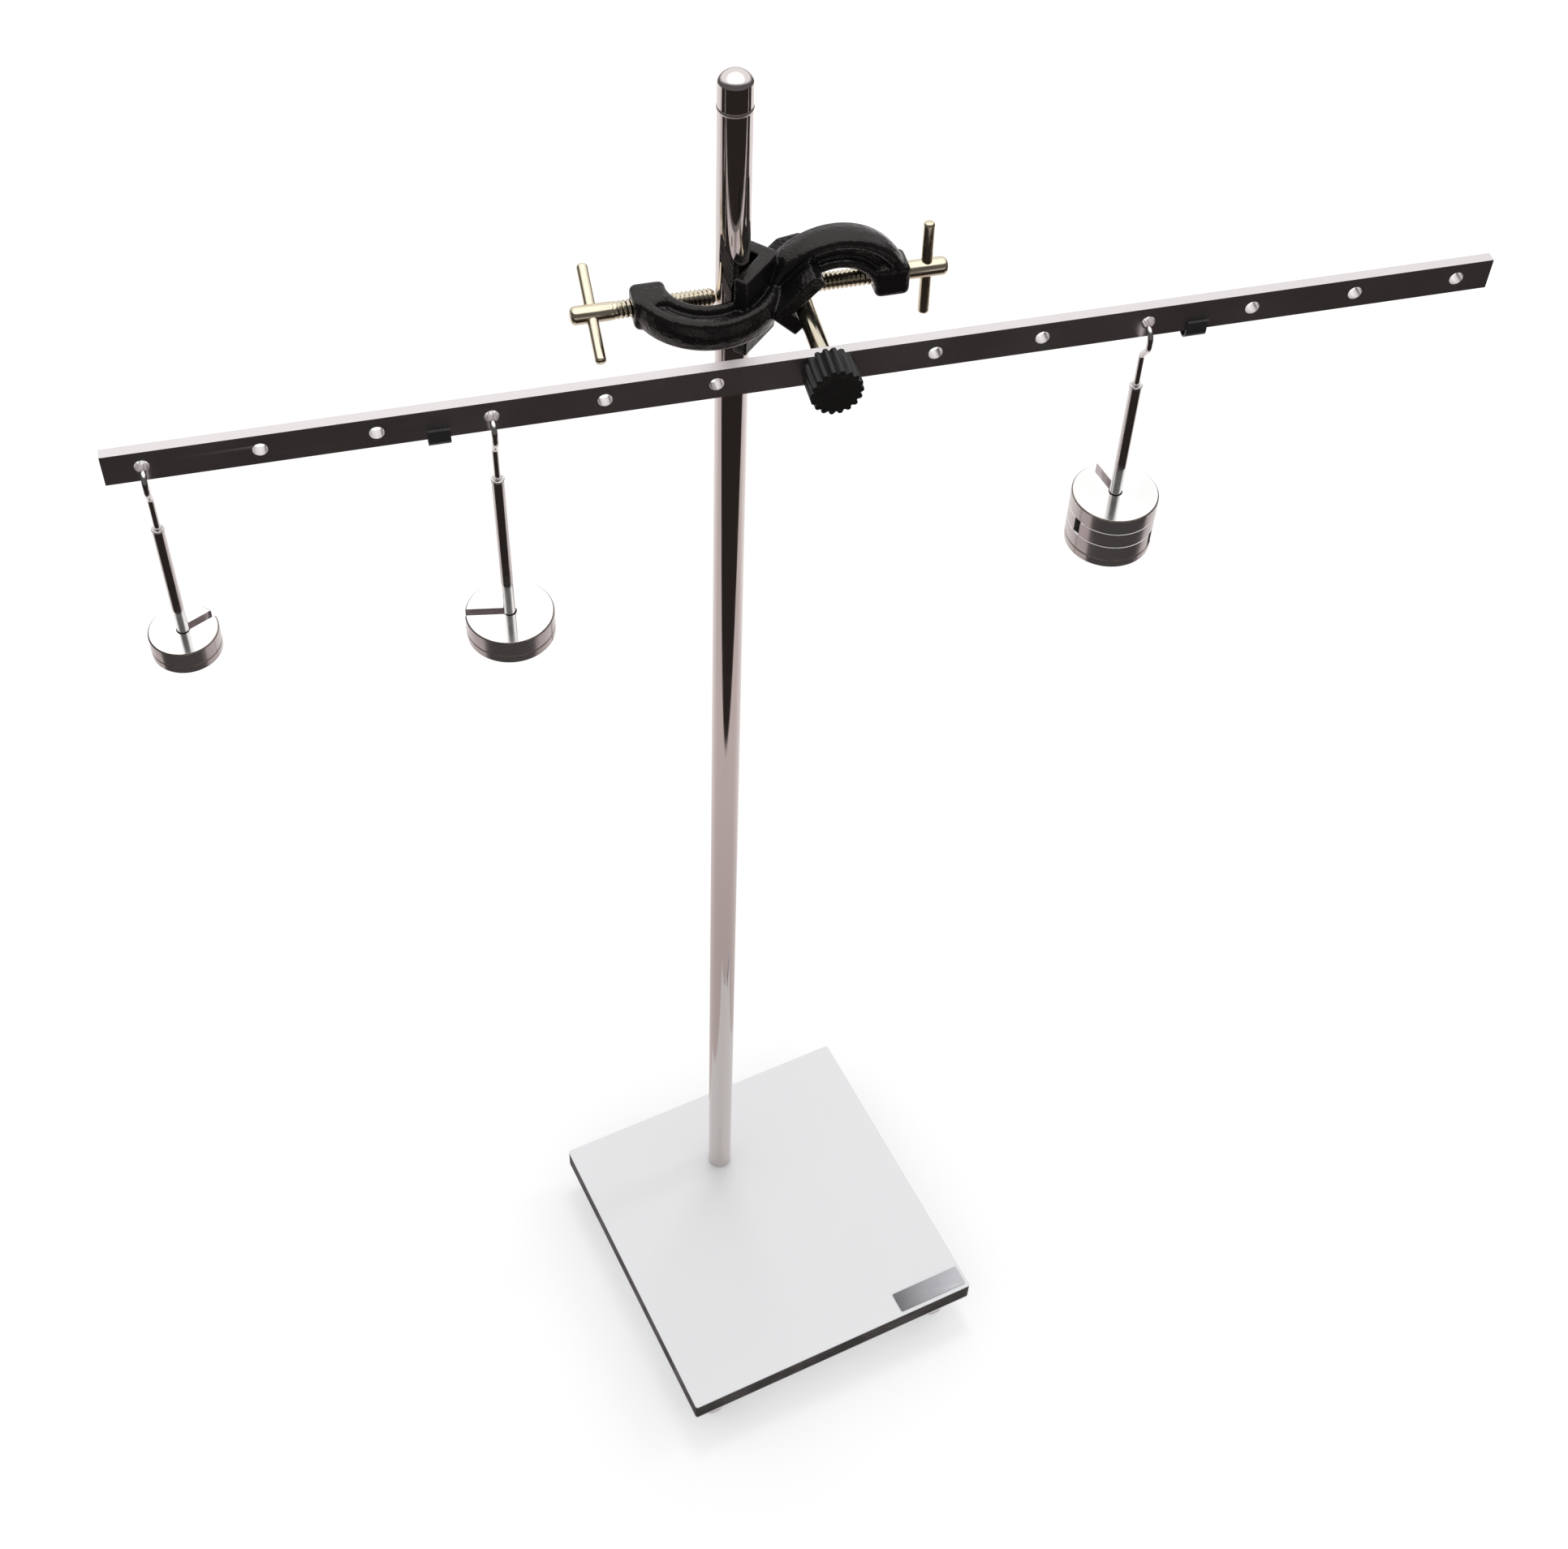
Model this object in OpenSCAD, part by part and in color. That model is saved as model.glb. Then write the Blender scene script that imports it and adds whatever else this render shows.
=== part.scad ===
// Balance beam with masses: a lever bar on a clamp stand, with three slotted-mass hangers.
// Millimetres, +Z up, +X along the beam. The pivot axis crosses X = 0 and points along Y.
// The origin is on the bench, below the pivot axis and in line with the middle of the base plate.

/* [Base plate] */
// Width of the base plate
base_w = 126; // [110:1:160]
// Depth of the base plate
base_d = 130; // [116:1:180]
// Thickness of the whole base board
base_t = 10; // [8:0.5:14]
// Thickness of each face sheet
sheet_t = 0.8; // [0.4:0.1:1.2]
// Corner radius of the base plate
base_corner_r = 1; // [0.5:0.5:6]
// Turn of the base plate against the beam, in degrees
base_yaw = 13; // [-20:1:20]

/* [Feet] */
// Height of a foot
foot_h = 16; // [12:0.5:20]
// Diameter of a foot's top flange
foot_flange_d = 21.5; // [20:0.5:25]
// Thickness of the flange
foot_flange_t = 1.2; // [0.8:0.1:2]
// Diameter of a foot where it meets the bench
foot_tip_d = 13; // [12:0.5:15]
// Width of the hexagonal recess over its corners
foot_hex_d = 9.6; // [8:0.2:10.4]
// Distance from the plate's edges to a foot's axis
foot_inset = 11.5; // [11:0.5:20]
// Diameter of a foot screw
foot_screw_d = 3.2; // [2.5:0.1:4]

/* [Stand rod] */
// Diameter of the stand rod
rod_d = 9.5; // [8:0.1:11]
// Length of the stand rod, without its cap
rod_l = 529; // [500:0.1:580]
// Length of the cap's straight part, over the bead
cap_l = 6.9; // [4:0.1:14]
// Height of the cap's dome
dome_h = 2.8; // [1.5:0.1:4]
// Width by which the cap's bead stands out
cap_bead = 0.25; // [0.1:0.05:0.6]
// Diameter of the screw that holds the rod from below
rod_screw_d = 6; // [4:0.5:6]
// Distance behind the beam's front face to the rod's axis
rod_behind = 34.3; // [31:0.1:40]

/* [Boss head] */
// Distance from the stand rod's upper end down to the clamp axis
clamp_below = 59.3; // [40:0.1:130]
// Distance between the stand rod's axis and the pivot rod's axis
rod_to_pivot = 18; // [17.6:0.1:20]
// Length of each V jaw
jaw_l = 25; // [20:0.5:30]
// Wall of each V jaw
jaw_wall = 4.2; // [3:0.1:4.4]
// Reach of the rod jaw's two lips and the pivot jaw's upper lip
jaw_reach = 9; // [7:0.5:10]
// Reach of the pivot jaw's lower lip
jaw_short_reach = 4; // [3:0.5:6]
// Radius of each arm's centre line
arm_r = 16.3; // [15.5:0.1:18]
// Depth of the arms' section, along the bend's radius
arm_depth = 10; // [8:0.1:10.4]
// Width of the arms' outer ridge
arm_w = 9.6; // [8:0.1:10.4]
// Side of the square tip blocks
tip_side = 9.8; // [8:0.1:11]
// Length of the tip blocks along the screw
tip_l = 10; // [9:0.5:12]

/* [Clamp screws] */
// Diameter of both clamp screws
screw_d = 5.2; // [4:0.1:6]
// Length of both clamp screws
screw_l = 40.2; // [38:0.1:46]
// Diameter of the cross bars
bar_d = 3.2; // [2:0.1:3.6]
// Length of the cross bars
bar_l = 30; // [24:1:40]
// Distance from a screw's outer end to its cross bar
bar_inset = 6; // [4:0.5:8]
// Lean of the left cross bar from upright, in degrees
left_bar_turn = -66; // [-180:1:180]
// Lean of the right cross bar from upright, in degrees
right_bar_turn = -3; // [-180:1:180]

/* [Pivot] */
// Diameter of the pivot rod
pivot_d = 5.2; // [4.6:0.1:6]
// Diameter of the journal that carries the beam
journal_d = 4; // [3:0.1:4.4]
// Length of pivot rod behind the stand rod's axis
pivot_back = 18.3; // [13:0.1:24]
// Diameter of the two pivot washers
washer_d = 7; // [6:0.1:8]
// Thickness of the two pivot washers
washer_t = 0.6; // [0.4:0.1:1]
// Diameter of the fluted knob
knob_d = 15.2; // [12:0.1:18]
// Length of the fluted knob
knob_l = 10.2; // [8:0.1:14]
// Number of flutes round the knob
flutes = 18; // [12:1:24]
// Diameter of each flute
flute_d = 2.4; // [0.8:0.1:2.6]
// Diameter of the knob's threaded insert
insert_d = 6.4; // [5.4:0.1:7]

/* [Beam] */
// Length of the beam
beam_l = 380; // [376:1:420]
// Height of the beam
beam_h = 9.5; // [9:0.1:12]
// Thickness of the beam
beam_t = 3.2; // [2.5:0.1:4]
// Distance between neighbouring holes
pitch = 30; // [28:0.5:31]
// Least distance from a hole to the beam's end
end_wall = 8; // [5:0.5:9.5]
// Diameter of the hanging holes
hole_d = 4; // [3.4:0.1:4.6]
// Height of the pivot hole over the line of holes
pivot_rise = 0.8; // [0.4:0.1:1.2]

/* [Riders] */
// Length of a rider along the beam
rider_w = 6; // [4:0.5:8]
// Sheet thickness of a rider
rider_t = 0.5; // [0.3:0.05:0.8]
// Height of a rider's legs over the beam's lower edge
rider_leg = 3; // [2:0.1:4]
// Distance from the left large hanger out to the left rider
left_rider_gap = 14.1; // [8:0.1:20]
// Distance from the right large hanger out to the right rider
right_rider_gap = 14.4; // [8:0.1:20]

/* [Hangers] */
// Diameter of the hook wire
wire_d = 1.7; // [1.4:0.1:1.9]
// Distance from the hole to the top of the hanger's rod
hook_drop = 21; // [18:0.1:30]
// Length of the hook's slanted run
hook_slant = 4; // [3:0.1:5]
// Bend radius of the hook's two lower bends, at the wire's middle
hook_r = 2.5; // [2:0.1:3]
// Diameter of the small hanger's rod
small_rod_d = 3.3; // [2.8:0.1:3.6]
// Length of the small hanger's rod over its plate
small_rod_l = 43.5; // [36:0.1:60]
// Thickness of the small hanger's plate
small_plate_t = 2.525; // [1.5:0.005:4]
// Diameter of the large hangers' rods
large_rod_d = 3.5; // [3:0.1:3.8]
// Length of the large hangers' rods over their plates
large_rod_l = 56.7; // [45:0.1:80]
// Thickness of the large hangers' plates
large_plate_t = 2.75; // [1.5:0.05:4]

/* [Slotted masses] */
// Diameter of the small slotted mass
small_mass_d = 19.5; // [18:0.1:24]
// Thickness of the small slotted mass
small_mass_t = 4.8; // [3:0.05:6]
// Diameter of the large slotted masses
large_mass_d = 25.5; // [22:0.1:30]
// Thickness of the large slotted masses
large_mass_t = 5.25; // [4:0.05:7]
// Width of the slots
slot_w = 2.4; // [2.1:0.1:2.8]
// Width that the middle hole has over the hanger's rod
hole_room = 0.6; // [0.2:0.1:1]

/* [Hidden] */
$fn = 64;

// Clearance of a tight fit between two pieces that stay together
tight = 0.02;
// Radial clearance of a shaft that turns or slides in its hole
running = 0.05;
// Gap between a clamped rod and what grips it
grip_gap = 0.3;
// Gap beside a piece that turns or slides between flat faces
side_gap = 0.1;
// Small overlap that makes a cut pass clear through a face
eps = 0.5;

base_top_z = foot_h + base_t;
rod_x = -rod_to_pivot;
beam_y = -0.8;
beam_front_y = beam_y - beam_t / 2;
beam_back_y = beam_y + beam_t / 2;
rod_y = beam_front_y + rod_behind;
base_x = -5.2;
clamp_z = base_top_z + rod_l - clamp_below;
hole_z = clamp_z - pivot_rise;
beam_low_z = hole_z - beam_h / 2;

// Base hardware
foot_web_t = 3.2;
foot_ledge = 1.25;
foot_tip_r = 0.8;
foot_tip_h = 1;
foot_head_d = 6.4;
foot_head_t = 2.2;
foot_head_slope = 1;
foot_grip = 5.5;
foot_screw_up = foot_web_t + foot_grip - 0.5;
rod_head_d = 10;
rod_head_t = 3.4;
rod_washer_d = 11;
rod_washer_t = 1;
rod_counterbore_d = 12;
rod_head_up = 0.4;
rod_counterbore_h = rod_head_t + rod_washer_t + rod_head_up;
rod_screw_grip = 12;
rod_screw_up = base_t - rod_head_up + rod_screw_grip;
rod_hex_d = 5.6;
rod_hex_h = 2;
rod_foot_c = 0.5;
cap_spigot_d = rod_d / 2;
cap_spigot_l = 8;
bead_h = 1.4;
dome_r = (rod_d * rod_d / 4 + dome_h * dome_h) / (2 * dome_h);

// Boss head, measured from the stand rod's axis on the clamp axis
jaw_angle = 45;
rod_vee = (rod_d / 2 + grip_gap) / sin(jaw_angle);
pivot_vee = (pivot_d / 2 + grip_gap) / sin(jaw_angle);
left_arm_drop = 3.6;
right_arm_drop = 4.6;
left_arm_x = 9 - arm_half(left_arm_drop);
right_arm_x = rod_to_pivot - 5.2 + arm_half(right_arm_drop);
left_tip_x = left_arm_x - arm_half(left_arm_drop) - 0.4;
right_tip_x = right_arm_x + arm_half(right_arm_drop) + 0.4;
rim_t = 3.8;
web_t = 4.8;
inner_rim_t = 3;
inner_rim_w = arm_w - 0.8;
arm_crown = 0.5;
arm_crown_r = 8;
lip_cut = 19.5;
tip_round = 1.8;
jaw_blunt = 1.2;

// Clamp screws
rod_screw_tip_x = -(rod_d / 2 + grip_gap);
pivot_screw_tip_x = rod_to_pivot + pivot_d / 2 + grip_gap;
screw_tip_chamfer = 0.6;
screw_end_round = 1.6;

// Pivot stack, from the pivot rod's shoulder to the knob
shoulder_y = beam_back_y + side_gap + washer_t + side_gap;
washer_back_y = beam_back_y + side_gap;
washer_front_y = beam_front_y - side_gap - washer_t;
knob_back_y = washer_front_y - side_gap;
knob_front_y = knob_back_y - knob_l;
insert_l = knob_l - 2.4;
journal_end_y = knob_back_y - insert_l + 0.6;
knob_front_c = 0.4;
knob_back_c = 0.6;
knob_dish_d = knob_d - 3.4;
knob_dish_h = 0.5;
flute_deep = 0.45;
pivot_end_chamfer = 0.5;

// Riders
rider_gap = 0.15;
rider_in = beam_t / 2 + rider_gap;
rider_out = rider_in + rider_t;
rider_bow_z = beam_low_z - 0.7;
rider_lip = 0.9;
rider_lip_turn = 40;

// Hangers and masses
wire_gap = 0.1;
hang_y = beam_front_y;
hang_z = hole_z - (hole_d / 2 - wire_d / 2 - wire_gap);
hook_turn = atan2(3, 4);
hook_front = 2 * hook_r * (1 - cos(hook_turn)) + hook_slant * sin(hook_turn);
hook_bow_r = hook_front - 0.4;
hook_straight = 1.75;
hook_back = beam_t + 2;
hook_tip_r = 1.8;
hook_tip_turn = 50;
wire_in_rod = 5;
rivet_share = 0.7;
rim_chamfer = 0.3;
disc_chamfer = 0.3;
stack_gap = 0.02;
holes_per_side = floor((beam_l / 2 - end_wall) / pitch);
inner_hole = 3;
small_x = -holes_per_side * pitch;
left_x = -inner_hole * pitch;
right_x = inner_hole * pitch;
small_slot = 28;
left_slot = 171;
right_slots = [-41, 198, 102];

// Colours
GREY_WHITE = [0.89, 0.90, 0.91];
CORE_BLACK = [0.13, 0.13, 0.14];
CLEAR = [0.85, 0.88, 0.87, 0.5];
CHROME = [0.72, 0.71, 0.72];
NICKEL = [0.78, 0.75, 0.70];
PAINT_BLACK = [0.07, 0.07, 0.07];
ALUMINIUM = [0.62, 0.60, 0.61];
STEEL = [0.60, 0.61, 0.63];
BRASS = [0.78, 0.62, 0.32];

// Flat rectangle with round corners, centred
module round_rect(w, h, r) {
    square([w - 2 * r, h], center = true);
    square([w, h - 2 * r], center = true);
    for (x = [-1, 1], y = [-1, 1])
        translate([x * (w / 2 - r), y * (h / 2 - r)]) circle(r);
}

// Places its children in the base plate's own turned frame, on the bench
module on_base() {
    translate([base_x, 0, 0]) rotate([0, 0, base_yaw]) children();
}

// Places its children on the stand rod's axis, at bench height
module on_rod() {
    translate([rod_x, rod_y, 0]) children();
}

// Places its children where the stand rod's axis meets the clamp axis
module on_clamp() {
    translate([rod_x, rod_y, clamp_z]) children();
}

// Turned piece round the Z axis: its outline as points of radius and height
module spun(outline) {
    rotate_extrude() polygon(outline);
}

// Rod along +Z with a chamfer at both ends
module chamfered_rod(d, l, c) {
    spun([[0, 0], [d / 2 - c, 0], [d / 2, c], [d / 2, l - c], [d / 2 - c, l], [0, l]]);
}

function foot_place(side, end) =
    [side * (base_w / 2 - foot_inset), end * (base_d / 2 - foot_inset)];

// One layer of the base board
module board(z, t) {
    translate([0, 0, z]) linear_extrude(t) round_rect(base_w, base_d, base_corner_r);
}

module rod_hole() {
    on_rod() translate([0, 0, -eps])
        cylinder(d = rod_screw_d + 2 * running, h = base_top_z + 2 * eps);
}

module foot_holes() {
    for (side = [-1, 1], end = [-1, 1]) translate(foot_place(side, end))
        translate([0, 0, foot_h - eps]) cylinder(d = foot_screw_d + 2 * tight, h = foot_grip + eps);
}

module base_core() color(CORE_BLACK) difference() {
    on_base() difference() {
        board(foot_h + sheet_t, base_t - 2 * sheet_t);
        foot_holes();
    }
    rod_hole();
    on_rod() cylinder(d = rod_counterbore_d, h = foot_h + rod_counterbore_h);
}

module base_top_sheet() color(GREY_WHITE) difference() {
    on_base() board(base_top_z - sheet_t, sheet_t);
    rod_hole();
}

module base_bottom_sheet() color(GREY_WHITE) difference() {
    on_base() difference() {
        board(foot_h, sheet_t);
        foot_holes();
    }
    on_rod() cylinder(d = rod_counterbore_d, h = foot_h + sheet_t + eps);
}

// Moulded clear foot: flanged cone with a hexagonal recess that hides its screw
module foot() {
    difference() {
        union() {
            translate([0, 0, foot_h - foot_flange_t]) cylinder(d = foot_flange_d, h = foot_flange_t);
            spun([
                [0, 0], [foot_tip_d / 2 - foot_tip_r, 0], [foot_tip_d / 2, foot_tip_h],
                [foot_flange_d / 2 - foot_ledge, foot_h], [0, foot_h]
            ]);
        }
        translate([0, 0, -eps]) cylinder(d = foot_hex_d, h = foot_h - foot_web_t + eps, $fn = 6);
        cylinder(d = foot_screw_d + 2 * tight, h = foot_h + eps);
    }
}

module foot_at(side, end) color(CLEAR) on_base() translate(foot_place(side, end)) foot();
module foot_front_left() foot_at(-1, -1);
module foot_front_right() foot_at(1, -1);
module foot_back_left() foot_at(-1, 1);
module foot_back_right() foot_at(1, 1);

module foot_screws() color(STEEL) on_base() for (side = [-1, 1], end = [-1, 1])
    translate(foot_place(side, end)) translate([0, 0, foot_h - foot_web_t])
        spun([
            [0, -foot_head_t], [foot_head_d / 2 - foot_head_slope, -foot_head_t], [foot_head_d / 2, 0],
            [foot_screw_d / 2, 0], [foot_screw_d / 2, foot_screw_up], [0, foot_screw_up]
        ]);

module rod_screw() color(STEEL) on_rod() translate([0, 0, foot_h + rod_head_up]) difference() {
    spun([
        [0, 0], [rod_head_d / 2, 0], [rod_head_d / 2, rod_head_t],
        [rod_screw_d / 2, rod_head_t], [rod_screw_d / 2, rod_screw_up], [0, rod_screw_up]
    ]);
    translate([0, 0, -eps]) cylinder(d = rod_hex_d, h = rod_hex_h + eps, $fn = 6);
}

module rod_washer() color(STEEL) on_rod() translate([0, 0, foot_h + rod_head_up + rod_head_t]) difference() {
    cylinder(d = rod_washer_d, h = rod_washer_t);
    translate([0, 0, -eps]) cylinder(d = rod_screw_d + 2 * tight, h = rod_washer_t + 2 * eps);
}

module stand_rod() color(CHROME) on_rod() translate([0, 0, base_top_z]) difference() {
    spun([[0, 0], [rod_d / 2 - rod_foot_c, 0], [rod_d / 2, rod_foot_c], [rod_d / 2, rod_l], [0, rod_l]]);
    translate([0, 0, -eps]) cylinder(d = rod_screw_d + 2 * running, h = rod_screw_grip + 1 + eps);
    translate([0, 0, rod_l - cap_spigot_l - 0.5])
        cylinder(d = cap_spigot_d + 2 * tight, h = cap_spigot_l + 0.5 + eps);
}

// Domed end cap with a thin bead where it meets the rod, plugged into the rod's end
module rod_cap() color(CHROME) on_rod() translate([0, 0, base_top_z + rod_l]) {
    translate([0, 0, -cap_spigot_l]) cylinder(d = cap_spigot_d, h = cap_spigot_l);
    rotate_extrude() union() {
        square([rod_d / 2, bead_h + cap_l]);
        translate([rod_d / 2 - bead_h / 2 + cap_bead, bead_h / 2]) circle(d = bead_h);
        translate([0, bead_h + cap_l]) intersection() {
            translate([0, dome_h - dome_r]) circle(dome_r);
            square([rod_d / 2, dome_h]);
        }
    }
}

// Section of a V jaw, open towards -X, with the gripped rod's axis at the origin
module jaw_section(vee, reach_up, reach_down) {
    step = jaw_wall * sin(jaw_angle);
    outer = vee + jaw_wall / sin(jaw_angle) - jaw_blunt;
    polygon([
        [vee, 0], [vee - reach_up, reach_up], [vee - reach_up + step, reach_up + step],
        [outer, jaw_blunt], [outer, -jaw_blunt],
        [vee - reach_down + step, -reach_down - step], [vee - reach_down, -reach_down]
    ]);
}

// The open space inside a V jaw
module jaw_space(vee) {
    polygon([[vee, 0], [vee - jaw_reach, jaw_reach], [vee - jaw_reach, -jaw_reach]]);
    circle(vee * sin(jaw_angle));
}

// Section of an arm: a thick outer rim, a web and a thinner inner rim
module arm_section() {
    out_x = arm_depth / 2 - rim_t / 2;
    in_x = -arm_depth / 2 + inner_rim_t / 2;
    translate([out_x, 0]) square([rim_t, arm_w - rim_t], center = true);
    for (y = [-1, 1]) translate([out_x, y * (arm_w - rim_t) / 2]) circle(d = rim_t);
    translate([in_x, 0]) square([inner_rim_t, inner_rim_w - inner_rim_t], center = true);
    for (y = [-1, 1]) translate([in_x, y * (inner_rim_w - inner_rim_t) / 2]) circle(d = inner_rim_t);
    square([arm_depth - rim_t, web_t], center = true);
    intersection() {
        translate([arm_depth / 2 + arm_crown - arm_crown_r, 0]) circle(arm_crown_r);
        translate([out_x, 0]) square([2 * rim_t, arm_w - rim_t], center = true);
    }
}

// Half of the distance between an arm's two ends, where its centre line's centre lies off by drop
function arm_half(drop) = sqrt(arm_r * arm_r - drop * drop);

// C arm that bulges towards +Y, with its two ends on the X axis
module c_arm(drop) {
    start = asin(drop / arm_r);
    translate([0, -drop, 0]) rotate([0, 0, start])
        rotate_extrude(angle = 180 - 2 * start) translate([arm_r, 0]) arm_section();
}

// Square block with rounded edges that carries a clamp screw's thread
module tip_block() {
    hull() for (x = [-1, 1], y = [-1, 1], z = [-1, 1])
        translate([x * (tip_l / 2 - tip_round), y * (tip_side / 2 - tip_round), z * (tip_side / 2 - tip_round)])
            sphere(tip_round, $fn = 24);
}

module boss_head() color(PAINT_BLACK) on_clamp() difference() {
    union() {
        linear_extrude(jaw_l, center = true) jaw_section(rod_vee, jaw_reach, jaw_reach);
        difference() {
            translate([rod_to_pivot, 0, 0]) rotate([90, 0, 0]) linear_extrude(jaw_l, center = true)
                mirror([1, 0]) jaw_section(pivot_vee, jaw_reach, jaw_short_reach);
            translate([0, lip_cut, 0]) rotate([45, 0, 0]) cube(4 * jaw_l);
        }
        translate([left_arm_x, 0, 0]) rotate([0, 0, 180]) c_arm(left_arm_drop);
        translate([right_arm_x, 0, 0]) rotate([90, 0, 0]) c_arm(right_arm_drop);
        translate([left_tip_x, 0, 0]) tip_block();
        translate([right_tip_x, 0, 0]) tip_block();
    }
    linear_extrude(jaw_l + 2 * eps, center = true) jaw_space(rod_vee);
    translate([rod_to_pivot, 0, 0]) rotate([90, 0, 0])
        linear_extrude(jaw_l + 2 * eps, center = true) mirror([1, 0]) jaw_space(pivot_vee);
    translate([left_tip_x, 0, 0]) rotate([0, 90, 0])
        cylinder(d = screw_d + 2 * running, h = tip_l + 6, center = true);
    translate([right_tip_x, 0, 0]) rotate([0, 90, 0])
        cylinder(d = screw_d + 2 * running, h = tip_l + 6, center = true);
}

// Clamp screw along +Z with its tip at the origin and a rounded, cross-drilled outer end
module clamp_screw(turn) {
    difference() {
        rotate_extrude() union() {
            polygon([
                [0, 0], [screw_d / 2 - screw_tip_chamfer, 0], [screw_d / 2, screw_tip_chamfer],
                [screw_d / 2, screw_l - screw_end_round], [0, screw_l - screw_end_round]
            ]);
            square([screw_d / 2 - screw_end_round, screw_l]);
            translate([screw_d / 2 - screw_end_round, screw_l - screw_end_round]) intersection() {
                circle(screw_end_round);
                square(screw_end_round);
            }
        }
        translate([0, 0, screw_l - bar_inset]) rotate([0, 0, turn]) rotate([0, 90, 0])
            cylinder(d = bar_d + 2 * tight, h = screw_d + 2 * eps, center = true);
    }
}

// Cross bar with domed ends, for a clamp screw
module cross_bar(turn) {
    dome = bar_d / 2 - 0.5;
    translate([0, 0, screw_l - bar_inset]) rotate([0, 0, turn]) rotate([0, 90, 0])
        rotate_extrude() {
            translate([0, -bar_l / 2 + dome]) square([bar_d / 2, bar_l - 2 * dome]);
            for (side = [-1, 1]) translate([0, side * (bar_l / 2 - dome)]) {
                translate([0, side > 0 ? 0 : -dome]) square([0.5, dome]);
                translate([0.5, 0]) intersection() {
                    circle(dome);
                    translate([0, side > 0 ? 0 : -dome]) square(dome);
                }
            }
        }
}

module at_rod_screw() on_clamp() translate([rod_screw_tip_x, 0, 0]) rotate([0, -90, 0]) children();
module at_pivot_screw() on_clamp() translate([pivot_screw_tip_x, 0, 0]) rotate([0, 90, 0]) children();

module rod_clamp_screw() color(NICKEL) at_rod_screw() clamp_screw(-left_bar_turn);
module rod_clamp_bar() color(NICKEL) at_rod_screw() cross_bar(-left_bar_turn);
module pivot_clamp_screw() color(NICKEL) at_pivot_screw() clamp_screw(right_bar_turn);
module pivot_clamp_bar() color(NICKEL) at_pivot_screw() cross_bar(right_bar_turn);

// Places its children on the pivot axis at depth y, with their +Z towards the back
module on_pivot(y) {
    translate([0, y, clamp_z]) rotate([-90, 0, 0]) children();
}

module pivot_rod() color(CHROME) {
    on_pivot(shoulder_y) chamfered_rod(pivot_d, rod_y + pivot_back - shoulder_y, pivot_end_chamfer);
    on_pivot(journal_end_y) cylinder(d = journal_d, h = shoulder_y - journal_end_y + 0.6);
}

module pivot_washer() {
    difference() {
        cylinder(d = washer_d, h = washer_t);
        translate([0, 0, -eps]) cylinder(d = journal_d + 2 * running, h = washer_t + 2 * eps);
    }
}

module washer_back() color(STEEL) on_pivot(washer_back_y) pivot_washer();
module washer_front() color(STEEL) on_pivot(washer_front_y) pivot_washer();

// Fluted knob with a dished front, moulded round its insert
module knob() color(PAINT_BLACK) on_pivot(knob_front_y) difference() {
    spun([
        [0, 0], [knob_d / 2 - knob_front_c, 0], [knob_d / 2, knob_front_c],
        [knob_d / 2, knob_l - knob_back_c], [knob_d / 2 - knob_back_c, knob_l], [0, knob_l]
    ]);
    for (i = [0 : flutes - 1]) rotate([0, 0, 360 * i / flutes])
        translate([knob_d / 2 + flute_d / 2 - flute_deep, 0, -eps]) cylinder(d = flute_d, h = knob_l + 2 * eps);
    translate([0, 0, -eps]) cylinder(d = knob_dish_d, h = knob_dish_h + eps);
    translate([0, 0, knob_l - insert_l]) cylinder(d = insert_d + 2 * tight, h = insert_l + eps);
}

module knob_insert() color(BRASS) on_pivot(knob_back_y - insert_l) difference() {
    cylinder(d = insert_d, h = insert_l);
    translate([0, 0, -eps]) cylinder(d = journal_d + 2 * running, h = insert_l + 2 * eps);
}

module beam() color(ALUMINIUM) difference() {
    translate([-beam_l / 2, beam_front_y, beam_low_z]) cube([beam_l, beam_t, beam_h]);
    for (side = [-1, 1], i = [1 : holes_per_side])
        translate([side * i * pitch, beam_y, hole_z]) rotate([90, 0, 0])
            cylinder(d = hole_d, h = beam_t + 2 * eps, center = true);
    translate([0, beam_y, clamp_z]) rotate([90, 0, 0])
        cylinder(d = journal_d + 2 * running, h = beam_t + 2 * eps, center = true);
}

// Folded sheet rider round the beam's lower edge: section in Y and Z
module rider_section() {
    leg_h = beam_low_z + rider_leg - rider_bow_z;
    difference() {
        circle(rider_out);
        circle(rider_in);
        translate([-rider_out, 0]) square([2 * rider_out, rider_out]);
    }
    for (side = [-1, 1]) {
        translate([side * (rider_in + rider_t / 2), leg_h / 2]) square([rider_t, leg_h], center = true);
        translate([side * (rider_in + rider_t / 2), leg_h - rider_t / 4]) rotate(-side * rider_lip_turn)
            translate([-rider_t / 2, 0]) square([rider_t, rider_lip]);
    }
}

module rider_at(x) color(PAINT_BLACK) translate([x - rider_w / 2, beam_y, rider_bow_z])
    rotate([90, 0, 90]) linear_extrude(rider_w) rider_section();
module rider_left() rider_at(left_x - left_rider_gap);
module rider_right() rider_at(right_x + right_rider_gap);

// Places its children at a hanging hole, under its front edge and level with the wire's axis
module hang_at(x) {
    translate([x, hang_y, hang_z]) children();
}

// Bend of the wire in the XY plane, round a centre, from one angle over a turn
module wire_bend(centre, r, from, turn) {
    translate(centre) rotate([0, 0, from]) rotate_extrude(angle = turn) translate([r, 0]) circle(d = wire_d, $fn = 32);
}

// Straight stretch of wire in the XY plane
module wire_run(a, b) {
    d = b - a;
    translate([a[0], a[1], 0]) rotate([0, 0, atan2(d[1], d[0])]) rotate([0, 90, 0])
        cylinder(d = wire_d, h = norm(d), $fn = 32);
}

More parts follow.
